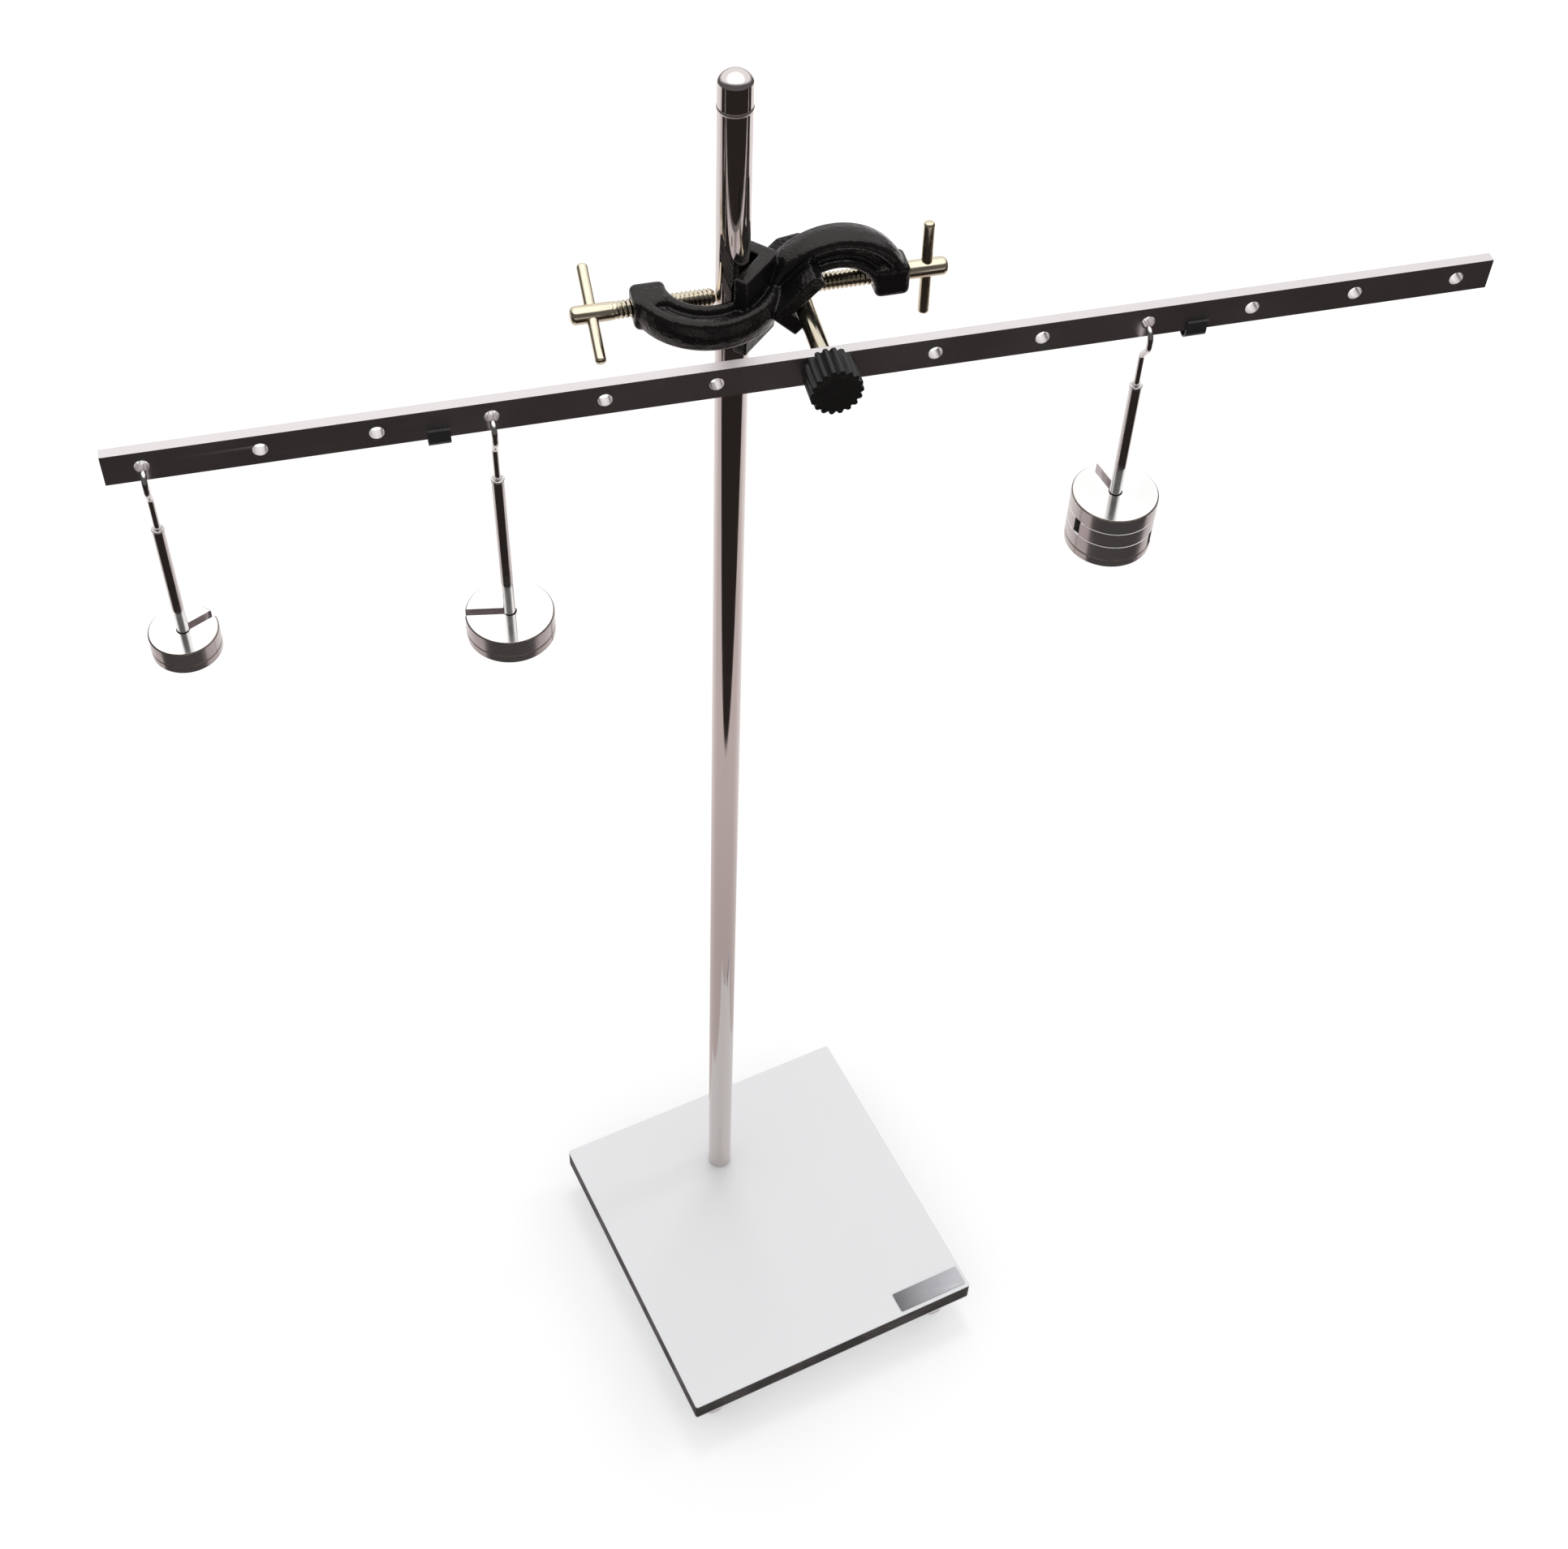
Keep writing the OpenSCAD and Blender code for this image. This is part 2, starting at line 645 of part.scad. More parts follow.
// Hook of bent wire: through the hole, down in front of the beam and back under it
module hook() {
    over = hook_front - hook_bow_r;
    low = -hook_bow_r - hook_straight;
    bend_x = hook_front - hook_r * (1 - cos(hook_turn));
    bend_y = low - hook_r * sin(hook_turn);
    end_x = hook_r * (1 - cos(hook_turn));
    end_y = bend_y - hook_slant * cos(hook_turn);
    shank_y = end_y - hook_r * sin(hook_turn);
    rotate([0, 0, -90]) rotate([90, 0, 0]) {
        wire_bend([-hook_back, -hook_tip_r], hook_tip_r, 90, hook_tip_turn);
        wire_run([-hook_back, 0], [over, 0]);
        wire_bend([over, -hook_bow_r], hook_bow_r, 0, 90);
        wire_run([hook_front, low], [hook_front, -hook_bow_r]);
        wire_bend([hook_front - hook_r, low], hook_r, -hook_turn, hook_turn);
        wire_run([end_x, end_y], [bend_x, bend_y]);
        wire_bend([hook_r, shank_y], hook_r, 180 - hook_turn, hook_turn);
        wire_run([0, -hook_drop - wire_in_rod], [0, shank_y]);
    }
}

// Rod of a hanger, bored at the top for the wire and turned down at the foot for its plate
module hanger_rod(d, l, plate_t) {
    translate([0, 0, -hook_drop]) difference() {
        union() {
            spun([[0, -l], [d / 2, -l], [d / 2, -rim_chamfer], [d / 2 - rim_chamfer, 0], [0, 0]]);
            translate([0, 0, -l - plate_t]) cylinder(d = d * rivet_share, h = plate_t + eps);
        }
        translate([0, 0, -wire_in_rod]) cylinder(d = wire_d + 2 * tight, h = wire_in_rod + eps);
        translate([0, 0, -0.35]) cylinder(d1 = wire_d, d2 = wire_d + 0.9, h = 0.45);
    }
}

// Disc along +Z from z = 0 with thin chamfers on both rims
module disc(d, t) {
    chamfered_rod(d, t, disc_chamfer);
}

module hanger_plate(mass_d, rod_dia, rod_len, t) {
    translate([0, 0, -hook_drop - rod_len - t]) difference() {
        disc(mass_d, t);
        translate([0, 0, -eps]) cylinder(d = rod_dia * rivet_share + 2 * tight, h = t + 2 * eps);
    }
}

// Slotted mass that lies on a hanger's plate, with its slot turned by an angle
module slotted_mass(d, t, rod_dia, slot_angle) {
    rotate([0, 0, slot_angle]) difference() {
        disc(d, t);
        translate([0, 0, -eps]) cylinder(d = rod_dia + hole_room, h = t + 2 * eps);
        translate([0, -slot_w / 2, -eps]) cube([d, slot_w, t + 2 * eps]);
    }
}

// Places a slotted mass on a hanger, over the masses below it
module stacked(rod_len, t, below) {
    translate([0, 0, -hook_drop - rod_len + stack_gap + below * (t + stack_gap)]) children();
}

module small_hook() color(CHROME) hang_at(small_x) hook();
module left_hook() color(CHROME) hang_at(left_x) hook();
module right_hook() color(CHROME) hang_at(right_x) hook();

module small_rod() color(CHROME) hang_at(small_x) hanger_rod(small_rod_d, small_rod_l, small_plate_t);
module left_rod() color(CHROME) hang_at(left_x) hanger_rod(large_rod_d, large_rod_l, large_plate_t);
module right_rod() color(CHROME) hang_at(right_x) hanger_rod(large_rod_d, large_rod_l, large_plate_t);

module small_plate() color(CHROME) hang_at(small_x)
    hanger_plate(small_mass_d, small_rod_d, small_rod_l, small_plate_t);
module left_plate() color(CHROME) hang_at(left_x)
    hanger_plate(large_mass_d, large_rod_d, large_rod_l, large_plate_t);
module right_plate() color(CHROME) hang_at(right_x)
    hanger_plate(large_mass_d, large_rod_d, large_rod_l, large_plate_t);

module small_mass() color(CHROME) hang_at(small_x) stacked(small_rod_l, small_mass_t, 0)
    slotted_mass(small_mass_d, small_mass_t, small_rod_d, small_slot);
module left_mass() color(CHROME) hang_at(left_x) stacked(large_rod_l, large_mass_t, 0)
    slotted_mass(large_mass_d, large_mass_t, large_rod_d, left_slot);
module right_mass(i) color(CHROME) hang_at(right_x) stacked(large_rod_l, large_mass_t, i)
    slotted_mass(large_mass_d, large_mass_t, large_rod_d, right_slots[i]);
module right_mass_lower() right_mass(0);
module right_mass_middle() right_mass(1);
module right_mass_upper() right_mass(2);

base_core();
base_top_sheet();
base_bottom_sheet();
foot_front_left();
foot_front_right();
foot_back_left();
foot_back_right();
foot_screws();
rod_screw();
rod_washer();
stand_rod();
rod_cap();
boss_head();
rod_clamp_screw();
rod_clamp_bar();
pivot_clamp_screw();
pivot_clamp_bar();
pivot_rod();
washer_back();
washer_front();
knob();
knob_insert();
beam();
rider_left();
rider_right();
small_hook();
small_rod();
small_plate();
small_mass();
left_hook();
left_rod();
left_plate();
left_mass();
right_hook();
right_rod();
right_plate();
right_mass_lower();
right_mass_middle();
right_mass_upper();
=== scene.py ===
"""Looks of a balance beam with masses: a drilled lever bar on a clamp stand, with slotted-mass hangers."""

import math

import bmesh
import bpy
from mathutils import Matrix, Vector


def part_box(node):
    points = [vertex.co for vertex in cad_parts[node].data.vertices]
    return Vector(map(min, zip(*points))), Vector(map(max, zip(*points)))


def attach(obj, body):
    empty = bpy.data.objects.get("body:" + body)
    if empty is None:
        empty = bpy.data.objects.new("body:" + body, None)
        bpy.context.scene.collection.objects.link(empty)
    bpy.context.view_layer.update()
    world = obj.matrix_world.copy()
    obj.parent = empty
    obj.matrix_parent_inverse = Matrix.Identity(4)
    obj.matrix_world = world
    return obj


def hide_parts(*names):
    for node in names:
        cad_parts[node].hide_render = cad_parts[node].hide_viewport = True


bl_info = {
    "name": "Balance beam with masses",
    "version": (1, 0, 0),
    "blender": (4, 5, 0),
    "location": "3D View > Sidebar > Balance Beam",
    "description": "Builds the finished pieces and the studio of a balance beam on a clamp stand",
    "category": "Add Mesh",
}

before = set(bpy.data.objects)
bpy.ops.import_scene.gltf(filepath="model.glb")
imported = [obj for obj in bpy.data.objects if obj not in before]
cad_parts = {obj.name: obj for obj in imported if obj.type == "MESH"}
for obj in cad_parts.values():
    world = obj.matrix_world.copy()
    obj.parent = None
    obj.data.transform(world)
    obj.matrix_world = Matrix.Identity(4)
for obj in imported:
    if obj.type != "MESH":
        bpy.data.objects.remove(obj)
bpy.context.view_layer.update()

MM = 0.001
WELD = 0.000001
UP = Vector((0, 0, 1))
# Level directions away from the camera and to its right, which the mirrored surroundings are laid out by
AWAY = Vector((0.2296, 0.9733, 0))
ASIDE = Vector((AWAY.y, -AWAY.x, 0))
ROD_LOW, ROD_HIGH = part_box("stand_rod")
BASE_TURN = math.radians(13)
BRIGHT_HEIGHT = math.radians(60)
# Chamfers of the discs: as the solids have them, and as they are redrawn above and below
DISC_CHAMFER = 0.3 * MM
UPPER_CHAMFER = 0.36 * MM
LOWER_CHAMFER = 0.12 * MM
LEDGE_DROP = 0.22 * MM


# Properties ---------------------------------------------------------------


class BeamSizes(bpy.types.PropertyGroup):
    """Sizes of the details that the solids leave to this file"""

    edge_round: bpy.props.FloatProperty(
        name="Edge rounding", description="Rounding of the board's edges, which other pieces multiply",
        default=0.0001, min=0.00002, max=0.0003, precision=5, unit="LENGTH",
    )
    cast_voxel: bpy.props.FloatProperty(
        name="Casting detail", description="Size of the cells that the cast clamp body is built from",
        default=0.00036, min=0.0003, max=0.001, precision=5, unit="LENGTH",
    )
    cast_rounds: bpy.props.IntProperty(
        name="Casting softness", description="Smoothing passes over the cast clamp body",
        default=7, min=0, max=30,
    )
    thread_pitch: bpy.props.FloatProperty(
        name="Thread pitch", description="Pitch of the clamp screws' threads",
        default=0.00125, min=0.0008, max=0.002, precision=5, unit="LENGTH",
    )
    thread_depth: bpy.props.FloatProperty(
        name="Thread depth", description="Depth of the clamp screws' threads",
        default=0.00042, min=0.0002, max=0.0008, precision=5, unit="LENGTH",
    )
    thread_length: bpy.props.FloatProperty(
        name="Thread length", description="Length of thread from a clamp screw's tip",
        default=0.0292, min=0.01, max=0.036, precision=4, unit="LENGTH",
    )
    knob_lobes: bpy.props.IntProperty(
        name="Knob ridges", description="Number of ridges round the knob", default=18, min=8, max=30,
    )
    knob_flute: bpy.props.FloatProperty(
        name="Knob groove depth", description="Depth of the grooves between the knob's ridges",
        default=0.00095, min=0.0002, max=0.0015, precision=5, unit="LENGTH",
    )
    plate_size: bpy.props.FloatVectorProperty(
        name="Corner plate", description="Length, width and thickness of the bare plate on the base",
        default=(0.030, 0.0085, 0.0004), size=3, subtype="XYZ", unit="LENGTH",
    )
    rim_wire: bpy.props.FloatProperty(
        name="Hanger rim", description="Thickness of the rolled rim at the top of a hanger's rod",
        default=0.00062, min=0.0002, max=0.001, precision=5, unit="LENGTH",
    )


class BeamColours(bpy.types.PropertyGroup):
    """Colours of the finishes"""

    laminate: bpy.props.FloatVectorProperty(
        name="Laminate", description="Pale laminate of the base", default=(0.93, 0.93, 0.945),
        size=3, subtype="COLOR", min=0, max=1,
    )
    board_edge: bpy.props.FloatVectorProperty(
        name="Board edge", description="Dark edge of the base board", default=(0.011, 0.011, 0.012),
        size=3, subtype="COLOR", min=0, max=1,
    )
    chrome: bpy.props.FloatVectorProperty(
        name="Chrome", description="Plating of the stand rod and the pivot rod", default=(0.77, 0.71, 0.69),
        size=3, subtype="COLOR", min=0, max=1,
    )
    enamel: bpy.props.FloatVectorProperty(
        name="Enamel", description="Black enamel of the clamp body", default=(0.006, 0.0056, 0.0056),
        size=3, subtype="COLOR", min=0, max=1,
    )
    screw_nickel: bpy.props.FloatVectorProperty(
        name="Screw nickel", description="Warm nickel of the clamp screws", default=(0.80, 0.72, 0.56),
        size=3, subtype="COLOR", min=0, max=1,
    )
    nickel: bpy.props.FloatVectorProperty(
        name="Nickel", description="Bright nickel of the hangers and masses", default=(0.80, 0.78, 0.77),
        size=3, subtype="COLOR", min=0, max=1,
    )
    # Near-white: a painted highlight on the discs' faced tops and ledges
    disc_nickel_painted_highlight: bpy.props.FloatVectorProperty(
        name="Disc nickel", description="Bright nickel of the turned discs", default=(0.985, 0.98, 0.975),
        size=3, subtype="COLOR", min=0, max=1,
    )
    # Darker than the tops: painted shade on the discs' sides, slots and holes
    disc_side_painted_shade: bpy.props.FloatVectorProperty(
        name="Disc side", description="Duller plating of the discs' rims and slots",
        default=(0.64, 0.59, 0.59), size=3, subtype="COLOR", min=0, max=1,
    )
    # Dark: painted shade along the discs' broken edges
    disc_edge_painted_shade: bpy.props.FloatVectorProperty(
        name="Disc edge", description="Dark broken edges of the discs", default=(0.26, 0.22, 0.19),
        size=3, subtype="COLOR", min=0, max=1,
    )
    aluminium: bpy.props.FloatVectorProperty(
        name="Aluminium", description="Satin aluminium of the beam", default=(0.75, 0.71, 0.715),
        size=3, subtype="COLOR", min=0, max=1,
    )
    knob: bpy.props.FloatVectorProperty(
        name="Knob", description="Black moulding of the knob", default=(0.009, 0.0085, 0.008),
        size=3, subtype="COLOR", min=0, max=1,
    )
    rider: bpy.props.FloatVectorProperty(
        name="Riders", description="Blackened sheet of the riders", default=(0.012, 0.012, 0.013),
        size=3, subtype="COLOR", min=0, max=1,
    )
    zinc: bpy.props.FloatVectorProperty(
        name="Zinc", description="Plating of the screws and washers", default=(0.62, 0.63, 0.65),
        size=3, subtype="COLOR", min=0, max=1,
    )
    brass: bpy.props.FloatVectorProperty(
        name="Brass", description="Insert of the knob", default=(0.78, 0.62, 0.32),
        size=3, subtype="COLOR", min=0, max=1,
    )
    clear: bpy.props.FloatVectorProperty(
        name="Clear plastic", description="Moulding of the feet", default=(0.90, 0.92, 0.92),
        size=3, subtype="COLOR", min=0, max=1,
    )
    plate: bpy.props.FloatVectorProperty(
        name="Plate", description="Bare metal plate on the base", default=(0.40, 0.40, 0.42),
        size=3, subtype="COLOR", min=0, max=1,
    )


class BeamStudio(bpy.types.PropertyGroup):
    """Floor, light and camera"""

    floor_size: bpy.props.FloatProperty(
        name="Floor", description="Side of the floor", default=8.0, min=2, max=20, unit="LENGTH",
    )
    floor_grey: bpy.props.FloatProperty(
        name="Floor grey", description="Brightness of the floor's own colour", default=0.78, min=0, max=1,
    )
    floor_lift: bpy.props.FloatProperty(
        name="Floor lift", description="Light that the floor adds for the camera, to turn it white",
        default=0.38, min=0, max=1,
    )
    table_edge: bpy.props.FloatProperty(
        name="Table edge", description="Distance in front of the rod where reflections turn dark",
        default=0.262, min=0.1, max=1, unit="LENGTH",
    )
    bright_room: bpy.props.FloatProperty(
        name="Bright screen", description="Half angle of the bright screen that the metal mirrors",
        default=math.radians(62), min=0, max=3.1, subtype="ANGLE",
    )
    sky: bpy.props.FloatProperty(
        name="Sky", description="Strength of the white surroundings on dull surfaces",
        default=0.70, min=0, max=1,
    )
    key_power: bpy.props.FloatProperty(
        name="Softbox", description="Power of the large softbox over and behind the object",
        default=5.0, min=0, max=100, unit="POWER",
    )
    camera_place: bpy.props.FloatVectorProperty(
        name="Camera place", description="Place of the camera", size=3, subtype="XYZ", unit="LENGTH",
        default=(-0.133505, -0.454659, 0.899592),
    )
    camera_turn: bpy.props.FloatVectorProperty(
        name="Camera turn", description="Turn of the camera", size=3, subtype="EULER",
        default=(0.6826746, -0.0087011, -0.2209247),
    )
    camera_lens: bpy.props.FloatProperty(
        name="Lens", description="Focal length in millimetres on a sensor 36 mm wide", default=52.7535,
        min=20, max=200,
    )
    camera_shift: bpy.props.FloatVectorProperty(
        name="Shift", description="Share of the picture's width by which the view is shifted", size=2,
        default=(0.03886, 0.00386),
    )


# Node groups and materials ------------------------------------------------


def node_group(name, inputs, outputs):
    """A new shader node group with its inputs and outputs; returns the tree and its two end nodes."""
    tree = bpy.data.node_groups.new(name, "ShaderNodeTree")
    for label, kind, value in inputs:
        socket = tree.interface.new_socket(name=label, in_out="INPUT", socket_type="NodeSocket" + kind)
        if value is not None:
            socket.default_value = value
    for label, kind in outputs:
        tree.interface.new_socket(name=label, in_out="OUTPUT", socket_type="NodeSocket" + kind)
    return tree, tree.nodes.new("NodeGroupInput"), tree.nodes.new("NodeGroupOutput")


def add_node(tree, kind, values=None, **settings):
    """A node with settings and with input values or links, given by socket name or number."""
    node = tree.nodes.new("ShaderNode" + kind)
    for key, value in settings.items():
        setattr(node, key, value)
    for key, value in (values or {}).items():
        if isinstance(value, bpy.types.NodeSocket):
            tree.links.new(value, node.inputs[key])
        else:
            node.inputs[key].default_value = value
    return node


def calculate(tree, operation, *values):
    """Output of a Math node."""
    return add_node(tree, "Math", dict(enumerate(values)), operation=operation).outputs[0]


def mapped(tree, value, start, end, soft=False):
    """Output of a Map Range node that takes one range to another."""
    ends = {"Value": value, "From Min": start[0], "From Max": start[1], "To Min": end[0], "To Max": end[1]}
    return add_node(tree, "MapRange", ends, interpolation_type="SMOOTHSTEP" if soft else "LINEAR").outputs[0]


def mixed(tree, share, one, other):
    """Output of a colour mix."""
    return add_node(tree, "Mix", {0: share, 6: one, 7: other}, data_type="RGBA").outputs[2]


def grain_group():
    """Noise stretched along chosen directions: cast skin, brushing, moulded texture."""
    tree, start, end = node_group(
        "Surface grain",
        [("Vector", "Vector", None), ("Stretch", "Vector", (1, 1, 1)), ("Scale", "Float", 1000.0),
         ("Detail", "Float", 2.0)],
        [("Height", "Float")],
    )
    along = add_node(tree, "VectorMath", {0: start.outputs["Vector"], 1: start.outputs["Stretch"]},
                     operation="MULTIPLY")
    noise = add_node(tree, "TexNoise", {"Vector": along.outputs[0], "Scale": start.outputs["Scale"],
                                        "Detail": start.outputs["Detail"]})
    tree.links.new(noise.outputs["Fac"], end.inputs["Height"])
    return tree


def rings_group():
    """Fine irregular rings round an upright axis, as a lathe leaves on a faced disc."""
    tree, start, end = node_group(
        "Turned rings",
        [("Vector", "Vector", None), ("Centre", "Vector", (0, 0, 0)), ("Density", "Float", 4000.0)],
        [("Height", "Float")],
    )
    away = add_node(tree, "VectorMath", {0: start.outputs["Vector"], 1: start.outputs["Centre"]},
                    operation="SUBTRACT")
    flat = add_node(tree, "VectorMath", {0: away.outputs[0], 1: (1, 1, 0)}, operation="MULTIPLY")
    radius = add_node(tree, "VectorMath", {0: flat.outputs[0]}, operation="LENGTH")
    count = calculate(tree, "MULTIPLY", radius.outputs["Value"], start.outputs["Density"])
    rings = add_node(tree, "TexNoise", {"W": count, "Scale": 1.0, "Detail": 2.0},
                     noise_dimensions="1D")
    tree.links.new(rings.outputs["Fac"], end.inputs["Height"])
    return tree


def handling_group():
    """Uneven gloss: a soft pattern of handled and rubbed places between two roughness values."""
    tree, start, end = node_group(
        "Handling marks",
        [("Vector", "Vector", None), ("Scale", "Float", 60.0), ("Low", "Float", 0.1),
         ("High", "Float", 0.2)],
        [("Roughness", "Float")],
    )
    broad = add_node(tree, "TexNoise", {"Vector": start.outputs["Vector"],
                                        "Scale": start.outputs["Scale"], "Detail": 4.0})
    mask = mapped(tree, broad.outputs["Fac"], (0.35, 0.68), (0, 1), soft=True)
    level = mapped(tree, mask, (0, 1), (start.outputs["Low"], start.outputs["High"]))
    tree.links.new(level, end.inputs["Roughness"])
    return tree


def drift_group():
    """A colour that drifts a little towards a second one over the surface."""
    tree, start, end = node_group(
        "Colour drift",
        [("Vector", "Vector", None), ("Scale", "Float", 30.0), ("Colour", "Color", (0.5, 0.5, 0.5, 1)),
         ("Other", "Color", (0.4, 0.4, 0.4, 1)), ("Amount", "Float", 0.3)],
        [("Colour", "Color")],
    )
    noise = add_node(tree, "TexNoise", {"Vector": start.outputs["Vector"],
                                        "Scale": start.outputs["Scale"], "Detail": 3.0})
    part = calculate(tree, "MULTIPLY", noise.outputs["Fac"], start.outputs["Amount"])
    mix = mixed(tree, part, start.outputs["Colour"], start.outputs["Other"])
    tree.links.new(mix, end.inputs["Colour"])
    return tree


GROUPS = {
    "Surface grain": grain_group,
    "Turned rings": rings_group,
    "Handling marks": handling_group,
    "Colour drift": drift_group,
}


def place_group(tree, name, values):
    """Puts a node group into a material, building the group the first time."""
    group = bpy.data.node_groups.get(name) or GROUPS[name]()
    return add_node(tree, "Group", values, node_tree=group)


def new_finish(name, metallic=0.0, **sockets):
    """A material with its Principled shader, and its Object coordinates."""
    material = bpy.data.materials.new(name)
    material.use_nodes = True
    tree = material.node_tree
    shader = tree.nodes["Principled BSDF"]
    shader.inputs["Metallic"].default_value = metallic
    for key, value in sockets.items():
        shader.inputs[key.replace("_", " ")].default_value = value
    place = add_node(tree, "TexCoord").outputs["Object"]
    return material, tree, shader, place


def paint(tree, shader, place, colour, other, amount, scale):
    """Drifting base colour."""
    drift = place_group(tree, "Colour drift", {
        "Vector": place, "Scale": scale, "Colour": (*colour, 1), "Other": (*other, 1), "Amount": amount})
    tree.links.new(drift.outputs["Colour"], shader.inputs["Base Color"])


def gloss(tree, shader, place, low, high, scale):
    """Uneven roughness."""
    marks = place_group(tree, "Handling marks", {"Vector": place, "Scale": scale, "Low": low, "High": high})
    tree.links.new(marks.outputs["Roughness"], shader.inputs["Roughness"])


def relief(tree, shader, layers):
    """Bump layers, each a height socket with its strength and its height in metres."""
    normal = None
    for height, strength, distance in layers:
        bump = add_node(tree, "Bump", {"Height": height, "Strength": strength, "Distance": distance})
        if normal is not None:
            tree.links.new(normal, bump.inputs["Normal"])
        normal = bump.outputs["Normal"]
    tree.links.new(normal, shader.inputs["Normal"])


def grain(tree, place, scale, stretch=(1, 1, 1), detail=2.0):
    """Height of the surface grain."""
    node = place_group(tree, "Surface grain", {
        "Vector": place, "Scale": scale, "Stretch": stretch, "Detail": detail})
    return node.outputs["Height"]


def mirrored_view(tree):
    """1 where the camera sees something in a mirror, 0 in light that reaches a dull surface."""
    ray = add_node(tree, "LightPath").outputs
    before_dull = calculate(tree, "LESS_THAN", ray["Diffuse Depth"], 0.5)
    return calculate(tree, "MULTIPLY", ray["Is Glossy Ray"], before_dull)


def darker(colour, share):
    """The colour times a share; a share over 1 makes it lighter."""
    return tuple(c * share for c in colour)


def colours():
    """The finishes' colours, as set in the panel."""
    return bpy.context.scene.beam_colours


def sizes():
    """The details' sizes, as set in the panel."""
    return bpy.context.scene.beam_sizes


def studio():
    """Floor, light and camera, as set in the panel."""
    return bpy.context.scene.beam_studio


# Finishes that differ only in numbers: material, colour, (share of the colour that it drifts towards,
# amount, scale), (lowest and highest roughness, scale), [(grain scale, bump strength, bump height, stretch,
# detail)], and what is set on the shader itself
PLAIN_FINISHES = {
    "laminate": ("board_laminate", "laminate", (0.96, 0.35, 14.0), (0.42, 0.5, 25.0),
                 [(1400.0, 0.12, 0.00006), (9.0, 0.15, 0.0015)], {}),
    "board edge": ("board_edge_black", "board_edge", (1.7, 0.8, 160.0), (0.38, 0.55, 90.0),
                   [(2600.0, 0.3, 0.00008)], {"IOR": 1.35}),
    # The enamel's reflections take a warm tint: painted warm light
    "enamel": ("clamp_enamel", "enamel", (1.8, 0.6, 220.0), (0.05, 0.11, 180.0),
               [(1500.0, 0.7, 0.0002), (520.0, 0.6, 0.0004)],
               {"IOR": 1.42, "Specular_Tint": (1.0, 0.93, 0.89, 1.0)}),
    "screw nickel": ("screw_nickel_plate", "screw_nickel", (0.82, 0.5, 300.0), (0.10, 0.2, 160.0),
                     [(2500.0, 0.18, 0.00004, (0.15, 1, 1))], {"metallic": 1.0}),
    "hanger nickel": ("hanger_nickel_plate", "nickel", (0.85, 0.4, 240.0), (0.07, 0.17, 190.0),
                      [(1800.0, 0.14, 0.00005, (1, 1, 0.12)), (260.0, 0.12, 0.0001)], {"metallic": 1.0}),
    # The discs' sides, slots and holes, duller than their faced tops and darker in colour: painted shade
    # against the tops' painted highlight
    "disc side": ("mass_nickel_side", "disc_side_painted_shade", (0.8, 0.6, 160.0), (0.12, 0.2, 120.0),
                  [(900.0, 0.22, 0.00006, (1, 1, 0.06))], {"metallic": 0.9}),
    # The discs' broken edges, coloured dark: painted shade for the dark line along the edges
    "disc edge": ("mass_nickel_edge", "disc_edge_painted_shade", (2.0, 0.7, 700.0), (0.25, 0.4, 300.0),
                  [], {"metallic": 1.0}),
    # The ledges between stacked discs, coloured bright: a painted highlight
    "disc ledge": ("mass_nickel_ledge", "disc_nickel_painted_highlight", (0.7, 0.5, 500.0), (0.2, 0.3, 300.0),
                   [], {"metallic": 1.0}),
    "aluminium": ("beam_satin_aluminium", "aluminium", (0.9, 0.25, 700.0), (0.30, 0.34, 45.0),
                  [(4200.0, 0.10, 0.00003)], {"metallic": 1.0}),
    "knob black": ("knob_moulding", "knob", (1.6, 0.6, 400.0), (0.24, 0.36, 200.0),
                   [(3000.0, 0.3, 0.00005, (1, 1, 1), 3.0)], {"IOR": 1.42}),
    "rider black": ("rider_blackened_steel", "rider", (2.4, 0.6, 500.0), (0.32, 0.5, 300.0),
                    [(2800.0, 0.3, 0.00005)], {"Coat_Weight": 0.2}),
    "zinc": ("zinc_plate", "zinc", (0.75, 0.6, 260.0), (0.28, 0.42, 240.0),
             [(2200.0, 0.25, 0.00006)], {"metallic": 1.0}),
    "brass": ("turned_brass", "brass", (0.78, 0.5, 280.0), (0.2, 0.34, 260.0),
              [(2600.0, 0.25, 0.00005, (1, 0.1, 1))], {"metallic": 1.0}),
    "clear": ("foot_clear_plastic", "clear", (0.93, 0.3, 120.0), (0.14, 0.24, 140.0),
              [(420.0, 0.08, 0.0002)], {"Transmission_Weight": 0.78, "IOR": 1.45}),
}


def make_plain(name):
    """A finish of the table above."""
    title, tone, (share, amount, patches), rough, bumps, settings = PLAIN_FINISHES[name]
    material, tree, shader, place = new_finish(title, **settings)
    colour = tuple(getattr(colours(), tone))
    paint(tree, shader, place, colour, darker(colour, share), amount, patches)
    gloss(tree, shader, place, *rough)
    if bumps:
        relief(tree, shader, [(grain(tree, place, scale, *more), strength, height)
                              for scale, strength, height, *more in bumps])
    return material


